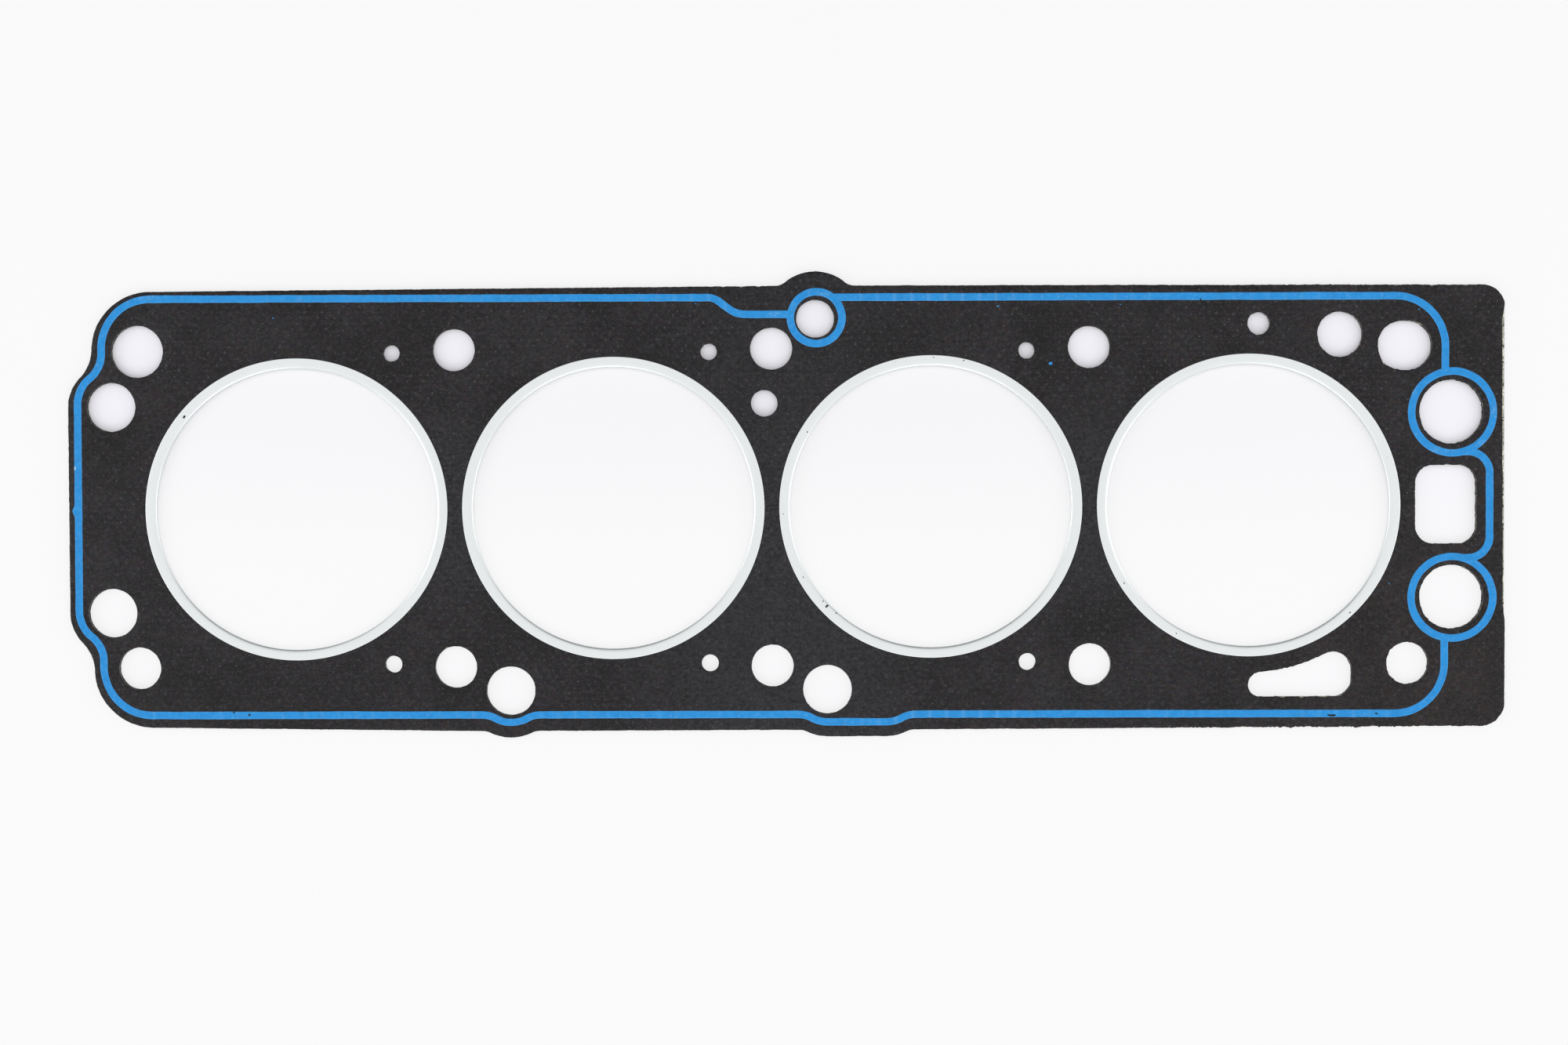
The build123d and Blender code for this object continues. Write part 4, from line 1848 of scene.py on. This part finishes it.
@dataclass(frozen=True)
class FireRing:
    """One steel strip folded into a U round a cylinder opening."""

    number: int
    x: float
    segments: int = 360
    bend_steps: int = 9
    tip_r: float = 0.05
    flat_lead: float = 0.5
    flat_tail: float = 0.2
    fold_reach: float = 1.7
    press_depth: float = 0.012
    press_mean: float = 0.5
    press: tuple[Wave, ...] = (Wave(0.35, 30.0), Wave(0.15, 8.0))
    edge: Wave = Wave(0.02, 12.0)
    seed: int = 500
    smooth_deg: float = 50.0

    def quarter(self, reach: Pair, start: float, turn: float, level: float) -> list[Pair]:
        """Returns one quarter of an ellipse round the fold, as radius and height.

        Args:
            reach: Half sizes of the ellipse across and upwards.
            start: Angle at which it starts.
            turn: Angle that it turns through.
            level: Height of its centre.

        Returns:
            The points.
        """
        centre_r = RING_BORE_R + self.fold_reach
        angles = [start + turn * k / self.bend_steps for k in range(self.bend_steps + 1)]
        return [(centre_r + reach[0] * math.cos(a), level + reach[1] * math.sin(a)) for a in angles]

    def profile(self) -> np.ndarray:
        """Returns the section as radius and height, from the lower flange's tip round the fold and back.

        Returns:
            The section's points, one row each.
        """
        low, high = -RING_PROUD, STACK_T + RING_PROUD
        inner_low, inner_high = low + RING_SHEET, high - RING_SHEET
        low_bend, high_bend = low + RING_BEND_R, high - RING_BEND_R
        outside = (self.fold_reach, RING_BEND_R)
        within = (self.fold_reach - RING_SHEET, RING_BEND_R - RING_SHEET)
        tip = self.tip_r
        lead = RING_BORE_R + self.fold_reach + self.flat_lead
        tail = FLANGE_R - self.flat_tail
        right_angle = math.pi / 2
        points = [(FLANGE_R - tip, low), (tail, low), (lead, low)]
        points += self.quarter(outside, -right_angle, -right_angle, low_bend)
        points += self.quarter(outside, math.pi, -right_angle, high_bend)
        points += [(lead, high), (tail, high), (FLANGE_R - tip, high), (FLANGE_R, high - tip)]
        points += [(FLANGE_R, inner_high), (lead, inner_high)]
        points += self.quarter(within, right_angle, right_angle, high_bend)
        points += self.quarter(within, math.pi, right_angle, low_bend)
        points += [(lead, inner_low), (FLANGE_R, inner_low), (FLANGE_R, low + tip)]
        return np.array(points)

    def build(self) -> bpy.types.Object:
        """Makes the ring, with its flanges pressed slightly unevenly.

        Returns:
            The new piece.
        """
        section = self.profile()
        angles = full_turn(self.segments)
        rim = np.stack((FLANGE_R * np.cos(angles), FLANGE_R * np.sin(angles)), axis=1)
        wander = Wander(self.seed + self.number)
        press = wander.layered(rim, self.press_mean, self.press)
        edge = wander.layered(rim, -self.edge.depth, (self.edge,))
        start = RING_BORE_R + self.fold_reach
        mesh = MeshPlan()
        for r, z in section:
            share = np.clip((r - start) / (FLANGE_R - start), 0.0, 1.0)
            radius = r + share * edge
            side = 1.0 if z > STACK_T / 2 else -1.0
            height = z - side * self.press_depth * share * press
            x = self.x + radius * np.cos(angles)
            mesh.add_points(np.column_stack((x, radius * np.sin(angles), height)))
        for i in range(len(section)):
            after = (i + 1) % len(section)
            mesh.join_rows(i * self.segments, after * self.segments, self.segments)
        piece = mesh.build(f"folded_ring_{self.number}")
        shade_smooth(piece, self.smooth_deg)
        return piece

    def dress(self, material: bpy.types.Material) -> None:
        """Makes the ring and dresses it."""
        hand_over(self.build(), material, (f"fire_ring_{self.number}",))


def turned(x: np.ndarray, y: np.ndarray, angle_deg: float) -> tuple[np.ndarray, np.ndarray]:
    """Returns places of the plane turned about the origin."""
    angle = math.radians(angle_deg)
    return x * math.cos(angle) - y * math.sin(angle), x * math.sin(angle) + y * math.cos(angle)


@dataclass(frozen=True)
class BeadFlaw:
    """A local change of the bead: how far its outer side bulges, and how far its crest sinks."""

    x: float
    y: float
    length: float
    bulge: float = 0.0
    sink: float = 0.0
    across: float = 0.5
    offset: float = 0.0
    lowest: float = -0.12 * BEAD_H

    def away(self, line: np.ndarray) -> np.ndarray:
        """Returns how far each point of a line is from the flaw."""
        return np.hypot(line[:, 0] - self.x, line[:, 1] - self.y)

    def bulged(self, line: np.ndarray, u: float) -> np.ndarray:
        """Returns how far a row moves along the left normal, at a share u of the half width."""
        near = np.exp(-((self.away(line) / self.length) ** 2))
        return u * self.bulge * near if u < 0 else np.zeros(len(line))

    def sunk(self, line: np.ndarray, u: float, height: np.ndarray) -> np.ndarray:
        """Returns the heights of a row above the surface, with the crest sunk at the flaw.

        Args:
            line: The bead's middle line.
            u: Share of the half width at which the row lies.
            height: Heights of the row.

        Returns:
            The new heights.
        """
        beside = math.exp(-(((u * BEAD_W / 2 - self.offset) / self.across) ** 2))
        lower = height - self.sink * beside * (self.away(line) < self.length)
        return np.minimum(height, np.maximum(lower, self.lowest))


@dataclass(frozen=True)
class BeadPlan:
    """A printed bead: its name, the side it lies on, its section and its flaws.

    The half section goes from the middle outwards, as shares of the half width and of the height.
    """

    name: str
    node: str
    seed: int
    head_side: bool
    flaws: tuple[BeadFlaw, ...] = ()
    step: float = 0.55
    half_section: tuple[Pair, ...] = (
        (0.15, 0.82), (0.45, 0.88), (0.66, 0.97), (0.78, 0.95),
        (0.87, 0.82), (0.94, 0.55), (0.985, 0.2), (1.0, -0.2),
    )
    sides: tuple[Wave, ...] = (Wave(0.035, 9.0), Wave(0.035, 2.0))
    side_inset: float = 0.05
    crest: Wave = Wave(0.05, 5.0)
    end_start: float = 0.4
    end_fade: float = 1.4
    end_crest: float = 0.6
    smooth_deg: float = 70.0

    def section(self) -> list[Pair]:
        """Returns the section from the right side to the left."""
        return [(-u, h) for u, h in reversed(self.half_section)] + list(self.half_section)


class Bead:
    """The perimeter line and the three rings of one printed bead."""

    def __init__(self, plan: BeadPlan) -> None:
        """Keeps the plan."""
        self.plan = plan

    def runs(self) -> list[tuple[np.ndarray, np.ndarray, bool]]:
        """Returns each run's middle line, its left normals and whether it is closed.

        Returns:
            A middle line, its normals and a truth value for each run.
        """
        track = belt(bead_track(), self.plan.step)
        across = normals(track)
        hidden = np.zeros(len(track), bool)
        rings = bead_rings()
        for x, y, r in rings:
            hidden |= np.hypot(track[:, 0] - x, track[:, 1] - y) < r
        result = []
        for start in np.nonzero(hidden & ~np.roll(hidden, -1))[0]:
            picks = [start]
            while not hidden[(picks[-1] + 1) % len(track)]:
                picks.append((picks[-1] + 1) % len(track))
            picks.append((picks[-1] + 1) % len(track))
            result.append((track[picks], across[picks], False))
        for x, y, r in rings:
            line = circle(x, y, r, self.plan.step)
            result.append((line, normals(line), True))
        return result

    def build(self) -> bpy.types.Object:
        """Makes the bead on its side of the gasket.

        Returns:
            The new piece.
        """
        plan = self.plan
        mesh = MeshPlan()
        for number, (line, across, closed) in enumerate(self.runs()):
            self.add_run(mesh, line, across, closed, plan.seed + number)
        for block in mesh.blocks:
            if plan.head_side:
                x, y = turned(block[:, 0], block[:, 1], PRINT_TURN_DEG)
                block[:] = np.column_stack((x, y, block[:, 2])) + (*PRINT_SHIFT, STACK_T)
            else:
                block[:, 2] = -block[:, 2]
        piece = mesh.build(plan.name, flip=not plan.head_side)
        shade_smooth(piece, plan.smooth_deg)
        return piece

    def add_run(self, mesh: MeshPlan, line: np.ndarray, across: np.ndarray, closed: bool, seed: int) -> None:
        """Adds one run of bead.

        Args:
            mesh: The mesh that the run is added to.
            line: The run's middle line.
            across: The left normals of the line.
            closed: Whether the run closes on itself.
            seed: Start of the run's unevenness.
        """
        plan = self.plan
        wander = Wander(seed)
        count = len(line)
        left, right = [BEAD_W / 2 * wander.layered(line, 1.0, plan.sides) - plan.side_inset for _ in range(2)]
        rise = 1.0 - plan.crest.depth * (0.5 + 0.5 * wander.closed(line, plan.crest.length))
        ends = np.ones(count)
        if not closed:
            index = np.arange(count)
            ends = rising(np.minimum(index, count - 1 - index) * plan.step, plan.end_start, plan.end_fade)
        first = mesh.count
        section = plan.section()
        for u, h in section:
            place = line + across * (u * (right if u < 0 else left))[:, None]
            height = np.full(count, BEAD_H * h)
            if h > 0:
                full = height * rise
                height = full * ends + (1.0 - ends) * np.minimum(full, BEAD_H * plan.end_crest)
            for flaw in plan.flaws:
                place = place + across * flaw.bulged(line, u)[:, None]
                if h > 0:
                    height = flaw.sunk(line, u, height)
            mesh.add_points(np.column_stack((place, height)))
        rows = len(section)
        for k in range(rows - 1):
            mesh.join_rows(first + (k + 1) * count, first + k * count, count, closed)
        mesh.join_rows(first, first + (rows - 1) * count, count, closed)
        if not closed:
            start = first + np.arange(rows) * count
            end = start + count - 1
            for k in range(1, rows - 1):
                mesh.add_faces(np.array([[start[0], start[k], start[k + 1]]]))
                mesh.add_faces(np.array([[end[0], end[k + 1], end[k]]]))

    def dress(self, material: bpy.types.Material) -> None:
        """Makes the bead and dresses it."""
        hand_over(self.build(), material, (self.plan.node,))


@dataclass(frozen=True)
class Blob:
    """A small irregular drop or fleck that lies on a surface."""

    x: float
    y: float
    length: float
    width: float
    angle_deg: float = 0.0
    height: float = 0.04


@dataclass(frozen=True)
class Scatter:
    """A set of blobs of one substance on one surface, as one piece.

    The dome goes from the rim upwards, as shares of a blob's reach and height.
    """

    name: str
    slot: Slot
    blobs: tuple[Blob, ...]
    z: float
    seed: int
    sides: int = 14
    root: float = 0.015
    uneven: float = 0.28
    dome: tuple[Pair, ...] = ((0.97, 0.25), (0.8, 0.75), (0.45, 1.0))
    crown: float = 1.05
    smooth_deg: float = 60.0

    def build(self) -> bpy.types.Object:
        """Makes the blobs as low domes with uneven rims.

        Returns:
            The new piece.
        """
        mesh = MeshPlan()
        random = np.random.default_rng(self.seed)
        angles = full_turn(self.sides)
        here = np.arange(self.sides)
        after = (here + 1) % self.sides
        for blob in self.blobs:
            rim = 1.0 + random.uniform(-self.uneven, self.uneven, self.sides)
            levels = [(1.0, -self.root)] + [(share, rise * blob.height) for share, rise in self.dome]
            rows = []
            for share, level in levels:
                along = blob.length / 2 * share * rim * np.cos(angles)
                aside = blob.width / 2 * share * rim * np.sin(angles)
                x, y = turned(along, aside, blob.angle_deg)
                row = np.stack((blob.x + x, blob.y + y), axis=1)
                rows.append(mesh.add_points(at_level(row, self.z + level)))
            crown = mesh.add_points(np.array([[blob.x, blob.y, self.z + blob.height * self.crown]]))
            for below, above in zip(rows, rows[1:]):
                mesh.join_rows(above, below, self.sides)
            mesh.add_faces(np.stack((rows[-1] + here, rows[-1] + after, np.full(self.sides, crown)), axis=1))
            mesh.add_faces(np.array([rows[0] + here[::-1]]))
        piece = mesh.build(self.name)
        shade_smooth(piece, self.smooth_deg)
        return piece

    def dress(self, material: bpy.types.Material) -> None:
        """Makes the blobs and dresses them."""
        hand_over(self.build(), material)


# Studio


@dataclass(frozen=True)
class SoftBox:
    """An area lamp that points at the gasket."""

    name: str
    place: tuple[float, float, float]
    size: Pair
    power: float = 1.0

    def build(self) -> None:
        """Makes the lamp."""
        lamp = bpy.data.lights.new(self.name, "AREA")
        lamp.shape = "RECTANGLE"
        lamp.size, lamp.size_y = self.size
        lamp.energy = self.power
        holder = bpy.data.objects.new(self.name, lamp)
        holder.location = self.place
        holder.rotation_euler = (-Vector(self.place)).to_track_quat("-Z", "Y").to_euler()
        bpy.context.scene.collection.objects.link(holder)


@dataclass(frozen=True)
class Paper:
    """One part of the floor: its share of the camera's own brightness by depth, and its colour."""

    name: str
    glow_share: Fade
    albedo: Colour


@dataclass(frozen=True)
class Studio:
    """Floor, world, lamps and camera."""

    floor_reach: float = 8.0
    floor_drop: float = 0.005
    floor_seam: float = 1.6
    floor_glow: float = 0.966
    far: Fade = Fade(320.0, 1300.0)
    open_floor: Paper = Paper("floor_round", Fade(-22.0, 32.0, 0.75, 0.75), (0.905, 0.900, 0.922, 1.0))
    # Below the gasket: the lavender-grey albedo in the small holes is painted shade, and the glow share falls
    # from front to back, painted light that lifts the lower holes to white while the upper ones keep their
    # rendered shade
    hole_floor_painted_shade: Paper = Paper("floor_below_painted_shade", Fade(-22.0, 32.0, 0.75, 0.06), (0.905, 0.892, 0.950, 1.0))
    bore_rim: Fade = Fade(FLANGE_R - 1.0, FLANGE_R)
    zenith: float = 1.02
    horizon: float = 0.57
    front_to_back: Fade = Fade(-0.9, 0.9, 1.15, 0.15)
    sides: Fade = Fade(0.45, 0.9)
    side_level: float = 1.08
    upwards: Fade = Fade(0.0, 0.6)
    back_dim: Fade = Fade(0.36, 0.80, 1.0, 0.30)
    boxes: tuple[SoftBox, ...] = (
        SoftBox("box_left", (-0.85, -0.05, 0.26), (0.6, 0.3)),
        SoftBox("box_right", (0.85, -0.05, 0.26), (0.6, 0.3)),
        SoftBox("box_front", (0.0, -0.75, 0.5), (0.8, 0.3)),
    )
    camera_place: tuple[float, float, float] = (0.005408, 0.002112, 0.450)
    camera_turn_deg: tuple[float, float, float] = (-0.8407, 0.2364, -0.2697)
    lens: float = 35.147
    sensor: float = 36.0
    clip_start: float = 0.01

    def seen(self, g: Graph) -> Socket:
        """Returns 1 for rays from the camera, off glossy surfaces or through glass.

        Args:
            g: The graph of the material.

        Returns:
            The mask.
        """
        path = g.add("ShaderNodeLightPath").outputs
        direct = g.plus(path["Is Camera Ray"], path["Is Glossy Ray"])
        return g.math("ADD", direct, path["Is Transmission Ray"], clamp=True)

    def paper_material(self, plan: Paper, groups: Groups) -> bpy.types.Material:
        """Makes white paper that the camera sees partly at its own brightness.

        Args:
            plan: The part of the floor.
            groups: The shared node groups.

        Returns:
            The material.
        """
        material = bpy.data.materials.new(plan.name)
        material.use_nodes = True
        g = Graph(material.node_tree)
        nodes = material.node_tree.nodes
        nodes.remove(nodes["Principled BSDF"])
        place = g.add("ShaderNodeGroup", node_tree=groups.plan).outputs["Place"]
        round_bores = g.add("ShaderNodeGroup", node_tree=groups.turned)
        g.put(place, round_bores.inputs["Place"])
        diffuse = g.add("ShaderNodeBsdfDiffuse")
        # Painted shade: outside the bores the floor takes its part's own albedo, lavender grey below the
        # gasket
        painted_tint_outside_bores = g.fade(round_bores.outputs["Radius"], self.bore_rim)
        g.put(g.mix(painted_tint_outside_bores, self.open_floor.albedo, plan.albedo), diffuse.inputs["Color"])
        glow = g.add("ShaderNodeEmission")
        glow.inputs["Color"].default_value = (self.floor_glow,) * 3 + (1.0,)
        mixed = g.add("ShaderNodeMixShader")
        x, y, _ = g.split(place)
        # Below the gasket the glow share falls from front to back: painted light on the lower holes
        share = g.higher(g.fade(y, plan.glow_share), g.fade(g.length(x, y), self.far))
        g.put(g.times(self.seen(g), share), mixed.inputs[0])
        g.put(diffuse.outputs[0], mixed.inputs[1])
        g.put(glow.outputs[0], mixed.inputs[2])
        g.put(mixed.outputs[0], nodes["Material Output"].inputs["Surface"])
        return material

    def build_floor(self, groups: Groups) -> None:
        """Makes the pale floor under the lower flanges: one part round the gasket, and one below it with
        painted shade in its holes.

        Args:
            groups: The shared node groups.
        """
        reach = self.floor_reach / MM
        square = np.array(((-reach, -reach), (reach, -reach), (reach, reach), (-reach, reach)))
        line = outline()
        seam = line + normals(line) * self.floor_seam
        for plan, lines in ((self.open_floor, [square, seam[::-1]]), (self.hole_floor_painted_shade, [seam])):
            mesh = MeshPlan()
            mesh.add_points(at_level(np.concatenate(lines), -RING_PROUD - self.floor_drop))
            mesh.add_faces(fill(lines, NO_POINTS))
            floor = mesh.build(plan.name)
            floor.data.materials.append(self.paper_material(plan, groups))

    def build_world(self) -> None:
        """Makes a pale sky that is brightest overhead and in front."""
        world = bpy.data.worlds.new("studio")
        bpy.context.scene.world = world
        world.use_nodes = True
        g = Graph(world.node_tree)
        background = world.node_tree.nodes["Background"]
        x, y, z = g.split(g.add("ShaderNodeTexCoord").outputs["Generated"])
        low = g.times(g.fade(y, self.front_to_back), self.horizon)
        low = g.plus(low, g.times(g.fade(g.size_of(x), self.sides), g.minus(self.side_level, low)))
        level = g.plus(low, g.times(g.fade(z, self.upwards), g.minus(self.zenith, low)))
        level = g.times(level, g.fade(y, self.back_dim))
        direct = g.add("ShaderNodeLightPath").outputs["Is Camera Ray"]
        shown = g.plus(g.times(direct, self.floor_glow), g.times(g.minus(1.0, direct), level))
        g.put(shown, background.inputs["Strength"])
        background.inputs["Color"].default_value = (1.0, 1.0, 1.0, 1.0)

    def build_camera(self) -> None:
        """Makes the camera at the photograph's viewing angle."""
        data = bpy.data.cameras.new("camera")
        data.lens = self.lens
        data.sensor_width = self.sensor
        data.sensor_fit = "HORIZONTAL"
        data.clip_start = self.clip_start
        camera = bpy.data.objects.new("camera", data)
        camera.location = self.camera_place
        camera.rotation_euler = Euler([math.radians(a) for a in self.camera_turn_deg], "XYZ")
        bpy.context.scene.collection.objects.link(camera)
        bpy.context.scene.camera = camera

    def build(self, groups: Groups) -> None:
        """Makes the whole studio.

        Args:
            groups: The shared node groups.
        """
        self.build_floor(groups)
        self.build_world()
        self.build_camera()
        for box in self.boxes:
            box.build()
        bpy.context.scene.view_settings.view_transform = "Standard"


# The three sheets

# Cut edge of a facing: depth below its face, and how far it stands back there
FACING_EDGE = ((0.0, 0.05), (0.03, 0.01), (0.12, 0.0), (0.34, 0.01), (FACING_T, 0.0))

# Seat of a ring in the facing, and the cut edge of the core
SEAT_TAPER = 0.02
SEAT_LEDGE = 1.0
SEAT_LEDGE_DEPTH = 2.6 * RING_SEAT_DEPTH
CORE_EDGE_DROP = 0.03
CORE_EDGE_INSET = 0.02


def facing_plans() -> tuple[SheetPlan, SheetPlan]:
    """Plans of the head facing and the block facing.

    Returns:
        The two plans.
    """
    seat = SEAT_R - SHEET_BORE_R
    low = STACK_T - FACING_T
    edge = tuple(Step(STACK_T - depth, inset) for depth, inset in FACING_EDGE)
    bore_edge = (
        Step(STACK_T, seat),
        Step(STACK_T - RING_SEAT_DEPTH, seat - SEAT_TAPER),
        Step(STACK_T - RING_SEAT_DEPTH, SEAT_LEDGE),
        Step(STACK_T - SEAT_LEDGE_DEPTH, 0.0),
        Step(low, 0.0),
    )
    head = SheetPlan("head_fibre_sheet", "head_facing", Slot.FACING, edge, bore_edge, 11, nicks=HEAD_NICKS)
    block = SheetPlan("block_fibre_sheet", "block_facing", Slot.FACING, edge, bore_edge, 31, mirrored=True)
    return head, block


def core_plan() -> SheetPlan:
    """Plan of the steel core.

    Returns:
        The plan.
    """
    low = FACING_T
    high = FACING_T + CORE_T
    edge = (
        Step(high, CORE_EDGE_INSET),
        Step(high - CORE_EDGE_DROP, 0.0),
        Step(low + CORE_EDGE_DROP, 0.0),
        Step(low, CORE_EDGE_INSET),
    )
    sheared = Fray(Wave(0.01, 4.0), Wave(0.008, 0.9), Wave(0.02, 0.55), 0.03)
    return SheetPlan("core_sheet", "steel_core", Slot.CORE, edge, edge, 51, sheared, sag=0.0, pitch=6.0)


# Flaws, specks and scuffs, as the photograph shows them

HEAD_FLAWS = (
    BeadFlaw(-203.7, -0.9, 1.0, bulge=0.65),
    BeadFlaw(164.0, -61.4, 1.2, sink=0.05, across=0.35, offset=-0.1),
    BeadFlaw(176.7, -61.4, 0.5, sink=0.05, across=0.35, offset=0.1),
)

VOIDS = (
    Spot(164.0, -61.75, 1.25, 0.34, 0.9),
    Spot(162.9, -61.6, 0.45, 0.22, 0.6),
    Spot(176.9, -61.25, 0.42, 0.24, 0.6),
    Spot(-153.9, -60.3, 0.34, 0.32, 0.5),
    Spot(-158.4, -59.6, 0.35, 0.22, 0.5),
    Spot(125.5, 60.2, 0.30, 0.26, 0.5),
)

DABS = (
    Spot(-204.5, 12.4, 0.24, 0.55, 0.3),
    Spot(114.5, 59.3, 0.34, 0.26, 0.5),
)

SCUFFS = (
    Spot(-183.5, 62.3, 4.2, 0.8, 1.0),
    Spot(-198.3, 44.6, 1.1, 0.35, 0.6),
    Spot(-198.5, 42.6, 1.1, 0.35, 0.6),
    Spot(-203.9, 36.5, 0.8, 1.6, 1.0),
    Spot(187.6, 33.0, 0.9, 1.8, 1.0),
    Spot(211.5, 27.0, 1.0, 2.2, 1.0),
    Spot(196.0, 16.0, 4.0, 0.9, 1.2),
    Spot(208.0, 17.6, 1.6, 1.2, 1.0),
    Spot(1.0, 56.4, 2.4, 0.7, 1.2),
    Spot(15.5, 62.4, 2.2, 0.8, 1.2),
)

BLUE_SPECKS = (
    Blob(81.7, 41.7, 1.1, 0.8, 20.0),
    Blob(-22.0, 59.7, 0.4, 0.3, 0.0),
    Blob(189.3, 57.0, 0.5, 0.3, 40.0),
    Blob(209.0, 8.0, 0.4, 0.3, 80.0),
    Blob(180.6, -23.1, 0.45, 0.3, 60.0),
    Blob(66.4, 58.5, 0.8, 0.3, 0.0),
    Blob(102.1, 58.8, 0.4, 0.3, 10.0),
    Blob(209.4, -25.0, 0.4, 0.3, 0.0),
    Blob(-145.8, 56.1, 0.45, 0.35, 0.0),
)

DARK_FLECKS = (
    Blob(-172.2, 27.3, 1.2, 0.75, 60.0),
    Blob(18.7, -31.1, 0.45, 0.3, 30.0),
    Blob(15.9, -29.1, 1.1, 0.6, 35.0),
    Blob(14.9, -27.6, 0.5, 0.3, 50.0),
    Blob(9.1, -20.5, 0.45, 0.3, 60.0),
    Blob(3.3, -2.0, 0.4, 0.25, 90.0),
    Blob(10.5, 22.0, 0.45, 0.3, 120.0),
    Blob(36.4, 42.3, 0.24, 0.16, 0.0),
    Blob(39.3, 42.5, 0.20, 0.16, 0.0),
    Blob(47.5, 43.6, 0.42, 0.26, 0.0),
    Blob(56.3, 42.7, 0.72, 0.28, 20.0),
    Blob(118.3, -37.5, 0.4, 0.3, -30.0),
    Blob(169.1, -31.6, 0.6, 0.4, 45.0),
    Blob(103.1, -22.7, 0.5, 0.35, -60.0),
    Blob(180.0, 13.8, 0.20, 0.16, 100.0),
)


def main() -> None:
    """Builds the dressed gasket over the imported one."""
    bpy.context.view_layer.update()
    groups = Groups()
    fibre = FibreFinish().make(groups)
    steel = SteelFinish().make(groups)
    core_steel = CoreFinish().make(groups)
    silicone = BeadFinish().make(groups)
    worn_silicone = BeadFinish("silicone_bead_worn", dabs=DABS, voids=VOIDS, scuffs=SCUFFS).make(groups)

    head, block = facing_plans()
    Sheet(head, BareEdge()).dress(fibre)
    Sheet(block).dress(fibre)
    Sheet(core_plan()).dress(core_steel)
    for number, x in enumerate(BORE_XS, start=1):
        FireRing(number, x).dress(steel)
    Bead(BeadPlan("head_bead_print", "head_sealing_bead", 61, True, HEAD_FLAWS)).dress(worn_silicone)
    Bead(BeadPlan("block_bead_print", "block_sealing_bead", 81, False)).dress(silicone)
    Scatter("stray_blue_drops", Slot.BEAD, BLUE_SPECKS, STACK_T, 91).dress(silicone)
    on_rings = STACK_T + RING_PROUD - FLECK_BEDDING
    Scatter("stray_fibre_flecks", Slot.FACING, DARK_FLECKS, on_rings, 92).dress(fibre)

    Studio().build(groups)


if __name__ == "__main__":
    logging.basicConfig(level=logging.INFO, format="%(name)s %(message)s")
    main()
